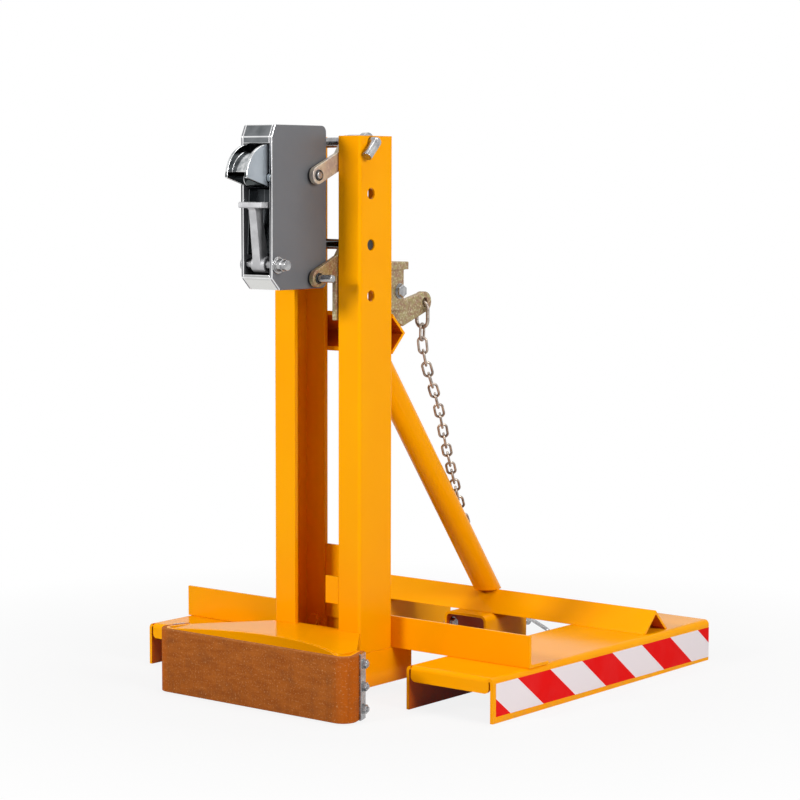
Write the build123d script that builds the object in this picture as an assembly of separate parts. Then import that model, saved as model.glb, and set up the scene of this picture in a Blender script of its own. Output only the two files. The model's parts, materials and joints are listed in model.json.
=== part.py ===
"""Forklift drum clamp: a fork-mounted frame with a gripping head that closes on a steel drum's rim.

Frame: +X to the clamp's right, +Y to the rear, where the forks enter, +Z up. The origin is on the
floor, at the middle of the clamp's length and width. Millimetres.
"""

from build123d import *
import math
import os

# Fork sleeves: folded sheet channels, open at the bottom
BASE_WIDTH = 704.0
SLEEVE_LENGTH = 610.0
SLEEVE_WIDTH = 162.0
SLEEVE_HEIGHT = 68.0
SLEEVE_WALL = 5.0
SLEEVE_BEND = 8.0
SLEEVE_LIP_DROP = 24.0
SLEEVE_LIP_CORNER = 8.0

# Angle bars
BAR_LEG = 50.0
BAR_WALL = 5.0
BAR_FILLET = 4.0
RIDGE_LEG = 50.0
RIDGE_END_INSET = 12.0
RIDGE_FROM_REAR = 146.0

# Mast columns: two channels with their open sides facing each other
MAST_WIDTH = 175.0
COLUMN_DEPTH = 80.0
COLUMN_FLANGE = 43.0
COLUMN_FLANGE_WALL = 8.0
COLUMN_WALL = 5.0
COLUMN_BEND = 5.0
COLUMN_TOP = 866.0
COLUMN_SETBACK = 13.0
HOLE_PITCH = 78.0
HOLE_COUNT = 4
HOLE_DROP = 10.0
HOLE_FROM_FRONT = 27.0
SHAFT_D = 16.0
SHAFT_CLEARANCE = 0.5
UPPER_TIE_Z = 561.0
TIE_LEG = 45.0
LOWER_TIE_Z = 102.5
LOWER_TIE_HEIGHT = 118.0
LOWER_TIE_WALL = 5.0
TAB_WIDTH = 26.5
TAB_Z = 142.5
TAB_HEIGHT = 43.0
TAB_WALL = 5.0

# Diagonal brace pipe
PIPE_D = 42.4
PIPE_WALL = 3.2
PIPE_SEAT = 1.0

# Foot channel under the ridge bar, with its bolt
FOOT_WIDTH = 88.0
FOOT_HEIGHT = 50.0
FOOT_WALL = 5.0
FOOT_BEND = 12.0
FOOT_AHEAD = 64.0
FOOT_BEHIND = 54.0
FOOT_BOLT_D = 10.0
FOOT_BOLT_INSET = 17.0
FOOT_BOLT_DROP = 23.0

# Ribs that carry the saddle
RIB_BOTTOM = 13.0
RIB_WALL = 5.0

# Saddle: a rolled wall that is hollow towards the drum, with rounded ends, and the web on top
SADDLE_RADIUS = 285.0
SADDLE_WALL = 5.0
SADDLE_TOP_Z = 102.0
SADDLE_BOTTOM_Z = 2.0
END_RADIUS = 14.0
END_OFFSET_X = 171.0
RETURN_ANGLE = 20.0
RETURN_LENGTH = 34.0
SADDLE_WEB = 5.0
SADDLE_TONGUE = 11.0

# Belt across the saddle, its clamp strips and their bolts
SADDLE_REACH = 161.0
BELT_WALL = 7.0
BELT_GAP = 0.3
STRIP_WALL = 4.0
STRIP_WIDTH = 20.0
STRIP_START = 8.0
BELT_BOLT_D = 8.0
BELT_BOLT_MARGIN = 16.0

# Bolts that hold the columns to the front bar
MAST_BOLT_D = 12.0
MAST_BOLT_Z = 97.0
BOLT_CLEARANCE = 0.25

# Gripping head: two cheek plates with a folded shell between them
HEAD_WIDTH = 62.0
HEAD_DEPTH = 126.0
HEAD_HEIGHT = 247.0
HEAD_ABOVE_PIN = 75.0
HEAD_FROM_NOSE = 45.0
CHEEK_WALL = 5.0
SHELL_WALL = 4.0
HEAD_CORNER = 10.0
HEAD_BEVEL = 18.0
HEAD_TOP_BEVEL = 8.0
UPPER_LIP = 10.0
LOWER_LIP = 5.0

# Parallel links between the head and the mast
LINK_WALL = 8.0
LINK_END_R = 13.5
LINK_SHAFT_R = 11.5
LINK_WASHER_D = 25.0
LINK_WASHER = 3.7
LINK_GAP = 0.3
HEAD_PIN_D = 12.0
HEAD_PIN_FROM_NOSE = 139.0
LINK_REACH = 71.0
HEAD_PIN_DROP = 50.0
LINK_ELBOW_Y = 49.0
LINK_ELBOW_Z = 21.0
TAIL_WIDTH = 20.5
TAIL_FROM_SHAFT = 10.0
TAIL_DROP = 116.0
UPPER_PIN_END = 3.0
LOWER_PIN_END = 28.5
SPACER_D = 24.0
SPACER_COLLAR_D = 30.0
SPACER_COLLAR = 10.0
PIVOT_CLEARANCE = 0.3

# Handle of the upper mast pin
HANDLE_LENGTH = 31.0
HANDLE_STAND_OFF = 1.0

# Beak, the upper jaw: two round-nosed cheeks with a curved nose plate between them
BEAK_RADIUS = 50.0
BEAK_PIN_DROP = 79.0
BEAK_PIN_D = 14.0
BEAK_PIN_SEAT = 3.0
BEAK_WIDTH = 44.0
BEAK_CHEEK = 5.0
BEAK_NOSE_RADIUS = 40.0
BEAK_NOSE_WALL = 5.0
BEAK_NOSE_LIFT = 8.5
BEAK_HUB_R = 14.0

# Lower jaw: a tee-shaped lever on the front pin
JAW_PIN_BACK = 58.0
JAW_PIN_RISE = 38.0
JAW_PIN_D = 16.0
JAW_PIN_END = 20.0
JAW_COLLAR_D = 19.0
JAW_COLLAR = 10.0
JAW_WASHER_D = 26.0
JAW_WASHER = 2.5
JAW_HUB_R = 12.0
JAW_HUB_GAP = 13.0
JAW_TEE_BACK = 30.0
JAW_TEE_DEPTH = 20.0
JAW_TEE_WIDTH = 46.0
JAW_TEE_HEIGHT = 9.0
JAW_RISE = 94.0
JAW_STEM_WIDTH = 14.0
JAW_STEM_DEPTH = 15.0
JAW_STEM_BACK = 5.0

# Chain anchor: a lug on the right column's back, the casting forked over it, and their bolt
LUG_X = 62.0
LUG_WALL = 8.0
LUG_REACH = 36.0
LUG_ABOVE_TIE = 46.0
LUG_HEIGHT = 39.0
ANCHOR_BOLT_BACK = 27.5
ANCHOR_BOLT_RISE = 19.5
ANCHOR_BOLT_D = 12.0
STEM_WIDTH = 34.0
STEM_BACK = 8.0
STEM_DEPTH = 30.5
STEM_FOOT = 11.0
STEM_GAP = 0.3
CAP_RISE = 65.0
CAP_HEIGHT = 12.0
CAP_WIDTH = 42.0
CAP_OVER_FRONT = 5.0
CAP_OVER_REAR = 7.5
ARM_WALL = 12.0
EYE_BACK = 107.0
EYE_DROP = 1.0
EYE_OUTER_R = 16.5
EYE_HOLE_R = 6.5
ARM_KNEE_BACK = 51.0
ARM_KNEE_DROP = 37.5

# Chain: a ring in the anchor's eye, the links and the hook
RING_WIRE = 6.0
RING_INNER_LENGTH = 34.0
RING_INNER_WIDTH = 16.0
RING_SEAT_DROP = 0.5
CHAIN_WIRE = 4.2
CHAIN_INNER_LENGTH = 22.4
CHAIN_INNER_WIDTH = 9.4
CHAIN_SLACK = 0.8
CHAIN_LINKS = 31
CHAIN_TWIST = 39.0
CHAIN_TWIST_LINKS = 3
HOOK_WALL = 5.0
HOOK_EYE_R = 6.0
HOOK_RIM = 6.0
HOOK_BEND_R = 9.0
HOOK_SHANK = 28.0
HOOK_SEAT = 1.8

# The chain's route, chosen by hand: steps from its first link, behind the brace and down to the floor
CHAIN_ROUTE = [
    (0.0, 0.0, 0.0),
    (-0.3, 1.5, -19.0),
    (-3.0, 15.0, -54.0),
    (-8.0, 40.0, -94.0),
    (-17.0, 68.0, -134.0),
    (-29.0, 97.0, -179.0),
    (-43.0, 130.0, -224.0),
    (-59.0, 167.0, -269.0),
    (-73.0, 203.0, -314.0),
    (-83.0, 236.0, -356.0),
    (-90.0, 264.0, -394.0),
    (-94.0, 286.0, -424.0),
    (-95.0, 306.0, -450.0),
    (-92.0, 323.0, -470.0),
    (-85.0, 338.0, -488.0),
    (-74.0, 351.0, -505.0),
    (-60.0, 362.0, -519.0),
    (-43.0, 370.0, -530.3),
    (-24.0, 375.0, -538.7),
]

# Places that follow from the sizes above
NOSE_REACH = LINK_REACH + HEAD_PIN_FROM_NOSE - COLUMN_SETBACK - HOLE_FROM_FRONT
OVERALL_LENGTH = SLEEVE_LENGTH + NOSE_REACH
FRONT_Y = -OVERALL_LENGTH / 2
REAR_Y = OVERALL_LENGTH / 2
SLEEVE_FRONT = REAR_Y - SLEEVE_LENGTH
BASE_X = BASE_WIDTH / 2
COLUMN_FRONT = SLEEVE_FRONT + COLUMN_SETBACK
COLUMN_REAR = COLUMN_FRONT + COLUMN_DEPTH
COLUMN_X = MAST_WIDTH / 2
FLANGE_EDGE_X = COLUMN_X - COLUMN_FLANGE
WEB_IN_X = COLUMN_X - COLUMN_WALL
MAST_BOLT_X = (FLANGE_EDGE_X + WEB_IN_X) / 2
TIE_RISE = TIE_LEG / math.sqrt(2)
RIDGE_RISE = RIDGE_LEG / math.sqrt(2)
RIDGE_Y = REAR_Y - RIDGE_FROM_REAR
RIDGE_TOP = SLEEVE_HEIGHT + RIDGE_RISE
SHAFT_Y = COLUMN_FRONT + HOLE_FROM_FRONT
UPPER_SHAFT_Z = COLUMN_TOP - HOLE_DROP
LOWER_SHAFT_Z = UPPER_SHAFT_Z - 2 * HOLE_PITCH
SHAFT_HOLE_R = SHAFT_D / 2 + SHAFT_CLEARANCE
FOOT_BOLT_Y = RIDGE_Y - FOOT_AHEAD + FOOT_BOLT_INSET
FOOT_BOLT_Z = SLEEVE_HEIGHT - FOOT_BOLT_DROP

BELT_FRONT = COLUMN_FRONT - SADDLE_REACH
END_Y = BELT_FRONT + BELT_WALL + BELT_GAP + END_RADIUS
SADDLE_CENTRE_Y = END_Y - math.sqrt((SADDLE_RADIUS + END_RADIUS) ** 2 - END_OFFSET_X ** 2)

HEAD_FRONT = FRONT_Y + HEAD_FROM_NOSE
HEAD_REAR = HEAD_FRONT + HEAD_DEPTH
HEAD_X = HEAD_WIDTH / 2
CHEEK_IN_X = HEAD_X - CHEEK_WALL
HEAD_PIN_Y = FRONT_Y + HEAD_PIN_FROM_NOSE
UPPER_HEAD_PIN_Z = UPPER_SHAFT_Z - HEAD_PIN_DROP
LOWER_HEAD_PIN_Z = LOWER_SHAFT_Z - HEAD_PIN_DROP
HEAD_TOP = UPPER_HEAD_PIN_Z + HEAD_ABOVE_PIN
HEAD_BOTTOM = HEAD_TOP - HEAD_HEIGHT
LINK_IN_X = HEAD_X + LINK_WASHER + LINK_GAP
LINK_OUT_X = LINK_IN_X + LINK_WALL
TAIL_REAR = SHAFT_Y - TAIL_FROM_SHAFT
TAIL_BOTTOM = LOWER_SHAFT_Z - TAIL_DROP
BEAK_PIN_Y = FRONT_Y + BEAK_RADIUS
BEAK_PIN_Z = HEAD_TOP - BEAK_PIN_DROP
JAW_PIN_Y = FRONT_Y + JAW_PIN_BACK
JAW_PIN_Z = HEAD_BOTTOM + JAW_PIN_RISE
JAW_TOP_Z = JAW_PIN_Z + JAW_RISE

LUG_BOTTOM_Z = UPPER_TIE_Z + LUG_ABOVE_TIE
ANCHOR_BOLT_Z = LUG_BOTTOM_Z + ANCHOR_BOLT_RISE
CAP_TOP_Z = LUG_BOTTOM_Z + CAP_RISE
ARM_KNEE_Z = LUG_BOTTOM_Z - ARM_KNEE_DROP
EYE_Y = COLUMN_REAR + EYE_BACK
EYE_Z = LUG_BOTTOM_Z - EYE_DROP
RING_HALF = (RING_INNER_LENGTH + RING_WIRE) / 2
RING_Z = EYE_Z - RING_SEAT_DROP - RING_HALF
CHAIN_HALF = (CHAIN_INNER_LENGTH + CHAIN_WIRE) / 2
CHAIN_STEP = CHAIN_INNER_LENGTH - CHAIN_SLACK
CHAIN_START_Z = RING_Z - RING_INNER_LENGTH / 2 + CHAIN_WIRE / 2 + CHAIN_SLACK / 2 - CHAIN_HALF


# Shared shapes

def block(x, y, z):
    """A box from three (low, high) pairs."""
    size = [high - low for low, high in (x, y, z)]
    middle = [(low + high) / 2 for low, high in (x, y, z)]
    return Pos(*middle) * Box(*size)


def yz_solid(face, x_low, x_high):
    """A face drawn in Y and Z, made solid from x_low to x_high."""
    return extrude(Plane.YZ.offset(x_low) * face, amount=x_high - x_low, dir=(1, 0, 0))


def upright(face, z_low, z_high):
    """A face drawn in X and Y, made solid from z_low to z_high."""
    return extrude(Plane.XY.offset(z_low) * face, amount=z_high - z_low, dir=(0, 0, 1))


def yz_polygon(*points):
    """A face with straight sides through Y-Z points."""
    return Polygon(*points, align=None)


def rod_x(y, z, radius, x_low, x_high):
    """A round bar along X."""
    return Pos((x_low + x_high) / 2, y, z) * Rot(0, 90, 0) * Cylinder(radius, x_high - x_low)


def rod(start, end, radius):
    """A round bar between two points."""
    start, end = Vector(*start), Vector(*end)
    return extrude(Plane(start, z_dir=end - start) * Circle(radius), amount=(end - start).length)


def stadium(start, end, radius):
    """A flat face with round ends, from one point to another."""
    start, end = Vector(*start), Vector(*end)
    along = end - start
    side = Vector(-along.Y, along.X).normalized() * radius
    corners = [start + side, start - side, end - side, end + side]
    bar = Polygon(*[(c.X, c.Y) for c in corners], align=None)
    return bar + Pos(start.X, start.Y) * Circle(radius) + Pos(end.X, end.Y) * Circle(radius)


def hexagon(diameter):
    """The hexagon of a bolt's head or nut."""
    return RegularPolygon(0.75 * diameter, 6, major_radius=False)


def bolt(seat, diameter, grip):
    """A hexagon bolt on a plane: its head behind the plane, its nut past the grip, with a short end."""
    head, nut = 0.65 * diameter, 0.8 * diameter
    shape = extrude(seat.offset(-head) * hexagon(diameter), amount=head)
    shape += extrude(seat * Circle(diameter / 2), amount=grip + nut + diameter / 4)
    return shape + extrude(seat.offset(grip) * hexagon(diameter), amount=nut)


def bolt_hole(seat, diameter, grip):
    """The clearance hole that goes with a bolt."""
    return extrude(seat.offset(-diameter) * Circle(diameter / 2 + BOLT_CLEARANCE), amount=grip + 2 * diameter)


def mirrored(shape):
    """The same shape on the other side of the middle plane."""
    return mirror(shape, about=Plane.YZ)


def save(name, *solids):
    """Write one node's solids to its STEP file."""
    whole = solids[0] if len(solids) == 1 else Compound(children=list(solids))
    export_step(whole, f"parts/{name}.step")


# Fork frame

def inverted_channel(x_low, x_high, top, height, wall, bend):
    """The X-Z section of a folded channel that is open at the bottom."""
    middle, width = (x_low + x_high) / 2, x_high - x_low
    outer = Pos(middle, top - height / 2) * Rectangle(width, height)
    outer = fillet(outer.vertices().group_by(Axis.Y)[-1], bend)
    hollow = Pos(middle, top - wall - height / 2) * Rectangle(width - 2 * wall, height)
    hollow = fillet(hollow.vertices().group_by(Axis.Y)[-1], max(bend - wall, wall / 5))
    return outer - hollow


def sleeve_lip(left, right):
    """The front of a sleeve's top, bent down into a lip."""
    y, z = SLEEVE_FRONT, SLEEVE_HEIGHT
    back, low = y + 2 * SLEEVE_BEND, z - SLEEVE_LIP_DROP
    section = yz_polygon(
        (y, z), (back, z), (back, z - SLEEVE_WALL), (y + SLEEVE_WALL, z - SLEEVE_WALL),
        (y + SLEEVE_WALL, low), (y, low),
    )
    outer = section.vertices().sort_by_distance((y, z, 0))[0]
    section = fillet(outer, SLEEVE_BEND)
    inner = section.vertices().sort_by_distance((y + SLEEVE_WALL, z - SLEEVE_WALL, 0))[0]
    lip = yz_solid(fillet(inner, SLEEVE_BEND - SLEEVE_WALL), left, right)
    return fillet(lip.edges().filter_by(Axis.Y).group_by(Axis.Z)[0], SLEEVE_LIP_CORNER)


def fork_sleeve():
    """The right fork sleeve."""
    section = inverted_channel(
        BASE_X - SLEEVE_WIDTH, BASE_X, SLEEVE_HEIGHT, SLEEVE_HEIGHT, SLEEVE_WALL, SLEEVE_BEND
    )
    sleeve = extrude(Plane.XZ.offset(-REAR_Y) * section, amount=SLEEVE_LENGTH)
    left, right = BASE_X - SLEEVE_WIDTH + SLEEVE_BEND, BASE_X - SLEEVE_BEND
    front = (SLEEVE_FRONT, SLEEVE_FRONT + SLEEVE_BEND)
    sleeve -= block((left, right), front, (SLEEVE_HEIGHT - SLEEVE_WALL, SLEEVE_HEIGHT))
    return sleeve + sleeve_lip(left, right)


def front_bar():
    """The angle bar behind the columns: one leg stands, one lies on the sleeves."""
    y, z = COLUMN_REAR, SLEEVE_HEIGHT
    section = yz_polygon(
        (y, z), (y + BAR_LEG, z), (y + BAR_LEG, z + BAR_WALL), (y + BAR_WALL, z + BAR_WALL),
        (y + BAR_WALL, z + BAR_LEG), (y, z + BAR_LEG),
    )
    inner = section.vertices().sort_by_distance((y + BAR_WALL, z + BAR_WALL, 0))[0]
    bar = yz_solid(fillet(inner, BAR_FILLET), -BASE_X, BASE_X)
    for seat in mast_bolt_seats():
        bar -= bolt_hole(seat, MAST_BOLT_D, COLUMN_FLANGE_WALL + BAR_WALL)
    return bar


def vee(rise):
    """An angle bar's section with its back along +Y of the sketch and its feet on the X axis."""
    foot = BAR_WALL * math.sqrt(2)
    return Polygon(
        (-rise, 0), (0, rise), (rise, 0), (rise - foot, 0), (0, rise - foot), (-rise + foot, 0), align=None
    )


def rear_bar():
    """The ridge bar across the sleeves, back upwards."""
    section = Pos(RIDGE_Y, SLEEVE_HEIGHT) * vee(RIDGE_RISE)
    return yz_solid(section, -BASE_X + RIDGE_END_INSET, BASE_X - RIDGE_END_INSET)


def brace():
    """The diagonal pipe from the upper tie's back to the ridge: its foot is cut level and notched for it."""
    high = Vector(0, COLUMN_REAR + TIE_RISE, UPPER_TIE_Z)
    low = Vector(0, RIDGE_Y, RIDGE_TOP)
    along = (low - high).normalized()
    start, end = high - along * (PIPE_D / 2), low + along * (PIPE_D / 2)
    pipe = rod(start, end, PIPE_D / 2) - rod(start, end, PIPE_D / 2 - PIPE_WALL)
    far = 4 * PIPE_D
    tie = yz_polygon((high.Y, high.Z), (high.Y - far, high.Z + far), (high.Y - far, high.Z - far))
    ridge = yz_polygon((low.Y, low.Z), (low.Y + far, low.Z - far), (low.Y - far, low.Z - far))
    pipe -= yz_solid(tie, -PIPE_D, PIPE_D)
    pipe -= yz_solid(ridge, -PIPE_D, PIPE_D)
    pipe -= block((-PIPE_D, PIPE_D), (low.Y - far, low.Y + far), (low.Z - far, low.Z - PIPE_SEAT))
    return pipe.solids().sort_by(SortBy.VOLUME)[-1]


def foot_channel():
    """The inverted channel under the ridge bar, drilled for its bolt."""
    half = FOOT_WIDTH / 2
    section = inverted_channel(-half, half, SLEEVE_HEIGHT, FOOT_HEIGHT, FOOT_WALL, FOOT_BEND)
    channel = extrude(Plane.XZ.offset(-RIDGE_Y - FOOT_BEHIND) * section, amount=FOOT_AHEAD + FOOT_BEHIND)
    return channel - bolt_hole(foot_bolt_seat(), FOOT_BOLT_D, FOOT_WALL)


def foot_bolt_seat():
    """The plane on the foot channel's left wall, inside, that its bolt's head sits on."""
    return Plane((-FOOT_WIDTH / 2 + FOOT_WALL, FOOT_BOLT_Y, FOOT_BOLT_Z), z_dir=(-1, 0, 0))


# Mast

def column():
    """The right mast column with its row of pin holes."""
    middle_x, middle_y = COLUMN_X - COLUMN_FLANGE / 2, (COLUMN_FRONT + COLUMN_REAR) / 2
    outer = Pos(middle_x, middle_y) * Rectangle(COLUMN_FLANGE, COLUMN_DEPTH)
    outer = fillet(outer.vertices().group_by(Axis.X)[-1], COLUMN_BEND)
    inside = COLUMN_DEPTH - 2 * COLUMN_FLANGE_WALL
    hollow = Pos(middle_x - COLUMN_WALL, middle_y) * Rectangle(COLUMN_FLANGE, inside)
    channel = extrude(Plane.XY.offset(SLEEVE_HEIGHT) * (outer - hollow), amount=COLUMN_TOP - SLEEVE_HEIGHT)
    for index in range(HOLE_COUNT):
        z = UPPER_SHAFT_Z - index * HOLE_PITCH
        channel -= rod_x(SHAFT_Y, z, SHAFT_HOLE_R, WEB_IN_X - COLUMN_WALL, COLUMN_X + COLUMN_WALL)
    return channel - bolt_hole(mast_bolt_seats()[0], MAST_BOLT_D, COLUMN_FLANGE_WALL + BAR_WALL)


def mast_bolt_seats():
    """Planes inside the columns' rear flanges, right then left, that the mast bolts' heads sit on."""
    y = COLUMN_REAR - COLUMN_FLANGE_WALL
    return [Plane((x, y, MAST_BOLT_Z), x_dir=(1, 0, 0), z_dir=(0, 1, 0)) for x in (MAST_BOLT_X, -MAST_BOLT_X)]


def upper_tie():
    """The angle bar across the columns' backs, its own back to the rear."""
    section = Pos(COLUMN_REAR, UPPER_TIE_Z) * Rot(0, 0, -90) * vee(TIE_RISE)
    return yz_solid(section, -COLUMN_X, COLUMN_X)


def lower_tie():
    """The flat plate between the columns' rear flanges, low on the mast, in front of the front bar."""
    return block(
        (-FLANGE_EDGE_X, FLANGE_EDGE_X), (COLUMN_REAR - LOWER_TIE_WALL, COLUMN_REAR),
        (LOWER_TIE_Z, LOWER_TIE_Z + LOWER_TIE_HEIGHT),
    )


def front_tab():
    """The small plate on the right column's front flange, flush with its face."""
    return block(
        (FLANGE_EDGE_X - TAB_WIDTH, FLANGE_EDGE_X), (COLUMN_FRONT, COLUMN_FRONT + TAB_WALL),
        (TAB_Z, TAB_Z + TAB_HEIGHT),
    )


def rib():
    """The right rib under the column, from the saddle to the front bar's rear edge."""
    inner_x = COLUMN_X - RIB_WALL
    front = SADDLE_CENTRE_Y + math.sqrt((SADDLE_RADIUS + SADDLE_WALL) ** 2 - inner_x ** 2)
    return block((inner_x, COLUMN_X), (front, COLUMN_REAR + BAR_LEG), (RIB_BOTTOM, SLEEVE_HEIGHT))


# Saddle and belt

def end_frame():
    """The right rounded end's centre, its outward normal at the return, and the return's heading."""
    turn = math.radians(RETURN_ANGLE)
    return (
        Vector(END_OFFSET_X, END_Y),
        Vector(math.cos(turn), math.sin(turn)),
        Vector(-math.sin(turn), math.cos(turn)),
    )


def end_points(radius, first_angle):
    """A right end's arc from an angle round to its return, then the return's end."""
    centre, normal, heading = end_frame()
    last_angle = math.radians(360 + RETURN_ANGLE)
    spots = [Vector(math.cos(a), math.sin(a)) for a in (first_angle, (first_angle + last_angle) / 2)]
    first, middle = [centre + spot * radius for spot in spots]
    turned = centre + normal * radius
    return first, middle, turned, turned + heading * RETURN_LENGTH


def flip(point):
    """The point on the other side of the middle plane."""
    return Vector(-point.X, point.Y)


def wrapped(points, middle_edge):
    """A plan curve, the same on both sides: left return and end, a middle edge, right end and return."""
    first, middle, turned, last = points
    return [
        Line(flip(last), flip(turned)), ThreePointArc(flip(turned), flip(middle), flip(first)), middle_edge,
        ThreePointArc(first, middle, turned), Line(turned, last),
    ]


def saddle_points(depth):
    """The right end of the saddle's plan curve at a depth behind its front face."""
    across = math.atan2(END_Y - SADDLE_CENTRE_Y, END_OFFSET_X)
    return end_points(END_RADIUS - depth, across + math.pi)


def hollow_arc(depth):
    """The saddle's hollow at a depth behind its front face, between its rounded ends."""
    first = saddle_points(depth)[0]
    return ThreePointArc(flip(first), Vector(0, SADDLE_CENTRE_Y + SADDLE_RADIUS + depth), first)


def sheet_face(curves, ends):
    """The face between two plan curves that run side by side."""
    near, far = ends
    return make_face(curves[0] + curves[1] + [Line(near, far), Line(flip(near), flip(far))])


def saddle_wall():
    """The rolled saddle wall with its returns, drilled for the belt bolts."""
    depths = (0, SADDLE_WALL)
    curves = [wrapped(saddle_points(depth), hollow_arc(depth)) for depth in depths]
    face = sheet_face(curves, [saddle_points(depth)[-1] for depth in depths])
    return drilled(upright(face, SADDLE_BOTTOM_Z, SADDLE_TOP_Z))


def saddle_top():
    """The flat web between the saddle wall, its returns and the columns."""
    first, _, _, last = saddle_points(SADDLE_WALL)
    rear = COLUMN_FRONT + SADDLE_TONGUE
    right = [(last.X, last.Y), (COLUMN_X, COLUMN_FRONT), (FLANGE_EDGE_X, COLUMN_FRONT), (FLANGE_EDGE_X, rear)]
    left = [(-x, y) for x, y in reversed(right)]
    outline = Polyline((first.X, first.Y), *right, *left, (-first.X, first.Y))
    face = make_face([hollow_arc(SADDLE_WALL), outline])
    return upright(face, SADDLE_TOP_Z - SADDLE_WEB, SADDLE_TOP_Z)


def belt():
    """The belt, stretched across the saddle's hollow and wrapped round its ends."""
    curves, ends = [], []
    for distance in (BELT_GAP, BELT_GAP + BELT_WALL):
        points = end_points(END_RADIUS + distance, math.radians(270))
        curves.append(wrapped(points, Line(flip(points[0]), points[0])))
        ends.append(points[-1])
    face = sheet_face(curves, ends)
    return drilled(upright(face, SADDLE_BOTTOM_Z, SADDLE_TOP_Z))


def belt_bolt_grip():
    """What a belt bolt holds together: wall, belt and strip."""
    return SADDLE_WALL + BELT_GAP + BELT_WALL + STRIP_WALL


def belt_bolt_seats():
    """Planes on the saddle's returns, inside, looking outwards, one for each belt bolt."""
    centre, normal, heading = end_frame()
    seat = centre + normal * (END_RADIUS - SADDLE_WALL) + heading * (STRIP_START + STRIP_WIDTH / 2)
    low, high = SADDLE_BOTTOM_Z + BELT_BOLT_MARGIN, SADDLE_TOP_Z - BELT_BOLT_MARGIN
    return [
        Plane((side * seat.X, seat.Y, z), x_dir=(0, 0, 1), z_dir=(side * normal.X, normal.Y, 0))
        for side in (1, -1)
        for z in (low, (low + high) / 2, high)
    ]


def drilled(shape):
    """The shape with the belt bolts' holes."""
    for seat in belt_bolt_seats():
        shape -= bolt_hole(seat, BELT_BOLT_D, belt_bolt_grip())
    return shape


def belt_strip():
    """The right strip that clamps the belt's end to the saddle's return."""
    centre, normal, heading = end_frame()
    inner = centre + normal * (END_RADIUS + BELT_GAP + BELT_WALL) + heading * STRIP_START
    corners = [inner, inner + heading * STRIP_WIDTH]
    corners += [corners[1] + normal * STRIP_WALL, inner + normal * STRIP_WALL]
    face = Polygon(*[(c.X, c.Y) for c in corners], align=None)
    return drilled(upright(face, SADDLE_BOTTOM_Z, SADDLE_TOP_Z))


# Mast pins and links

def mast_pin():
    """The upper mast pin, which pulls out to the right by its handle, bent down and forwards."""
    end = COLUMN_X + SHAFT_D / 2 + HANDLE_STAND_OFF
    pin = rod_x(SHAFT_Y, UPPER_SHAFT_Z, SHAFT_D / 2, -COLUMN_X, end)
    pin += Pos(end, SHAFT_Y, UPPER_SHAFT_Z) * Sphere(SHAFT_D / 2)
    drop = HANDLE_LENGTH / math.sqrt(2)
    return pin + rod((end, SHAFT_Y, UPPER_SHAFT_Z), (end, SHAFT_Y - drop, UPPER_SHAFT_Z - drop), SHAFT_D / 2)


def lower_mast_pin():
    """The lower mast pin, its ends sunk in the columns' holes."""
    end = WEB_IN_X + COLUMN_WALL / 2
    return rod_x(SHAFT_Y, LOWER_SHAFT_Z, SHAFT_D / 2, -end, end)


def shaft_spacers(z):
    """Spacer tubes on one mast pin, between the links and the columns, each with a collar at its column."""
    low, high = LINK_OUT_X + LINK_GAP, WEB_IN_X - LINK_GAP
    tube = rod_x(SHAFT_Y, z, SPACER_D / 2, low, high)
    tube += rod_x(SHAFT_Y, z, SPACER_COLLAR_D / 2, high - SPACER_COLLAR, high)
    tube -= rod_x(SHAFT_Y, z, SHAFT_HOLE_R, low - 1, high + 1)
    return [tube, mirrored(tube)]


def link_face(shaft_z):
    """A cranked link's outline: flat towards the head, then bent up to its mast pin."""
    pin = (HEAD_PIN_Y, shaft_z - HEAD_PIN_DROP)
    elbow = (pin[0] + LINK_ELBOW_Y, pin[1] + LINK_ELBOW_Z)
    return stadium(pin, elbow, LINK_END_R) + stadium(elbow, (SHAFT_Y, shaft_z), LINK_SHAFT_R)


def drilled_link(face, shaft_z):
    """A right link from its outline, with its two holes."""
    face -= Pos(HEAD_PIN_Y, shaft_z - HEAD_PIN_DROP) * Circle(HEAD_PIN_D / 2 + PIVOT_CLEARANCE)
    face -= Pos(SHAFT_Y, shaft_z) * Circle(SHAFT_D / 2 + PIVOT_CLEARANCE)
    return yz_solid(face, LINK_IN_X, LINK_OUT_X)


def upper_link():
    """The right upper link."""
    return drilled_link(link_face(UPPER_SHAFT_Z), UPPER_SHAFT_Z)


def lower_link():
    """A lower link on the right, without a tail."""
    return drilled_link(link_face(LOWER_SHAFT_Z), LOWER_SHAFT_Z)


def tailed_link():
    """The right lower link, which has a tail hanging down between the columns."""
    top = LOWER_SHAFT_Z - HEAD_PIN_DROP + LINK_ELBOW_Z
    tail = Pos(TAIL_REAR - TAIL_WIDTH / 2, (TAIL_BOTTOM + top) / 2) * Rectangle(TAIL_WIDTH, top - TAIL_BOTTOM)
    return drilled_link(link_face(LOWER_SHAFT_Z) + tail, LOWER_SHAFT_Z)


def head_pin(z, overhang):
    """A pin through the head and one pair of links, past the links by the overhang."""
    end = LINK_OUT_X + overhang
    pin = rod_x(HEAD_PIN_Y, z, HEAD_PIN_D / 2, -end, end)
    return chamfer(pin.edges().filter_by(GeomType.CIRCLE), HEAD_PIN_D / 12)


def link_washers(z):
    """Dark washers between the head's cheeks and one pair of links."""
    washer = rod_x(HEAD_PIN_Y, z, LINK_WASHER_D / 2, HEAD_X, HEAD_X + LINK_WASHER)
    washer -= rod_x(HEAD_PIN_Y, z, HEAD_PIN_D / 2 + BOLT_CLEARANCE, HEAD_X - 1, HEAD_X + LINK_WASHER + 1)
    return [washer, mirrored(washer)]


# Gripping head

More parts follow.
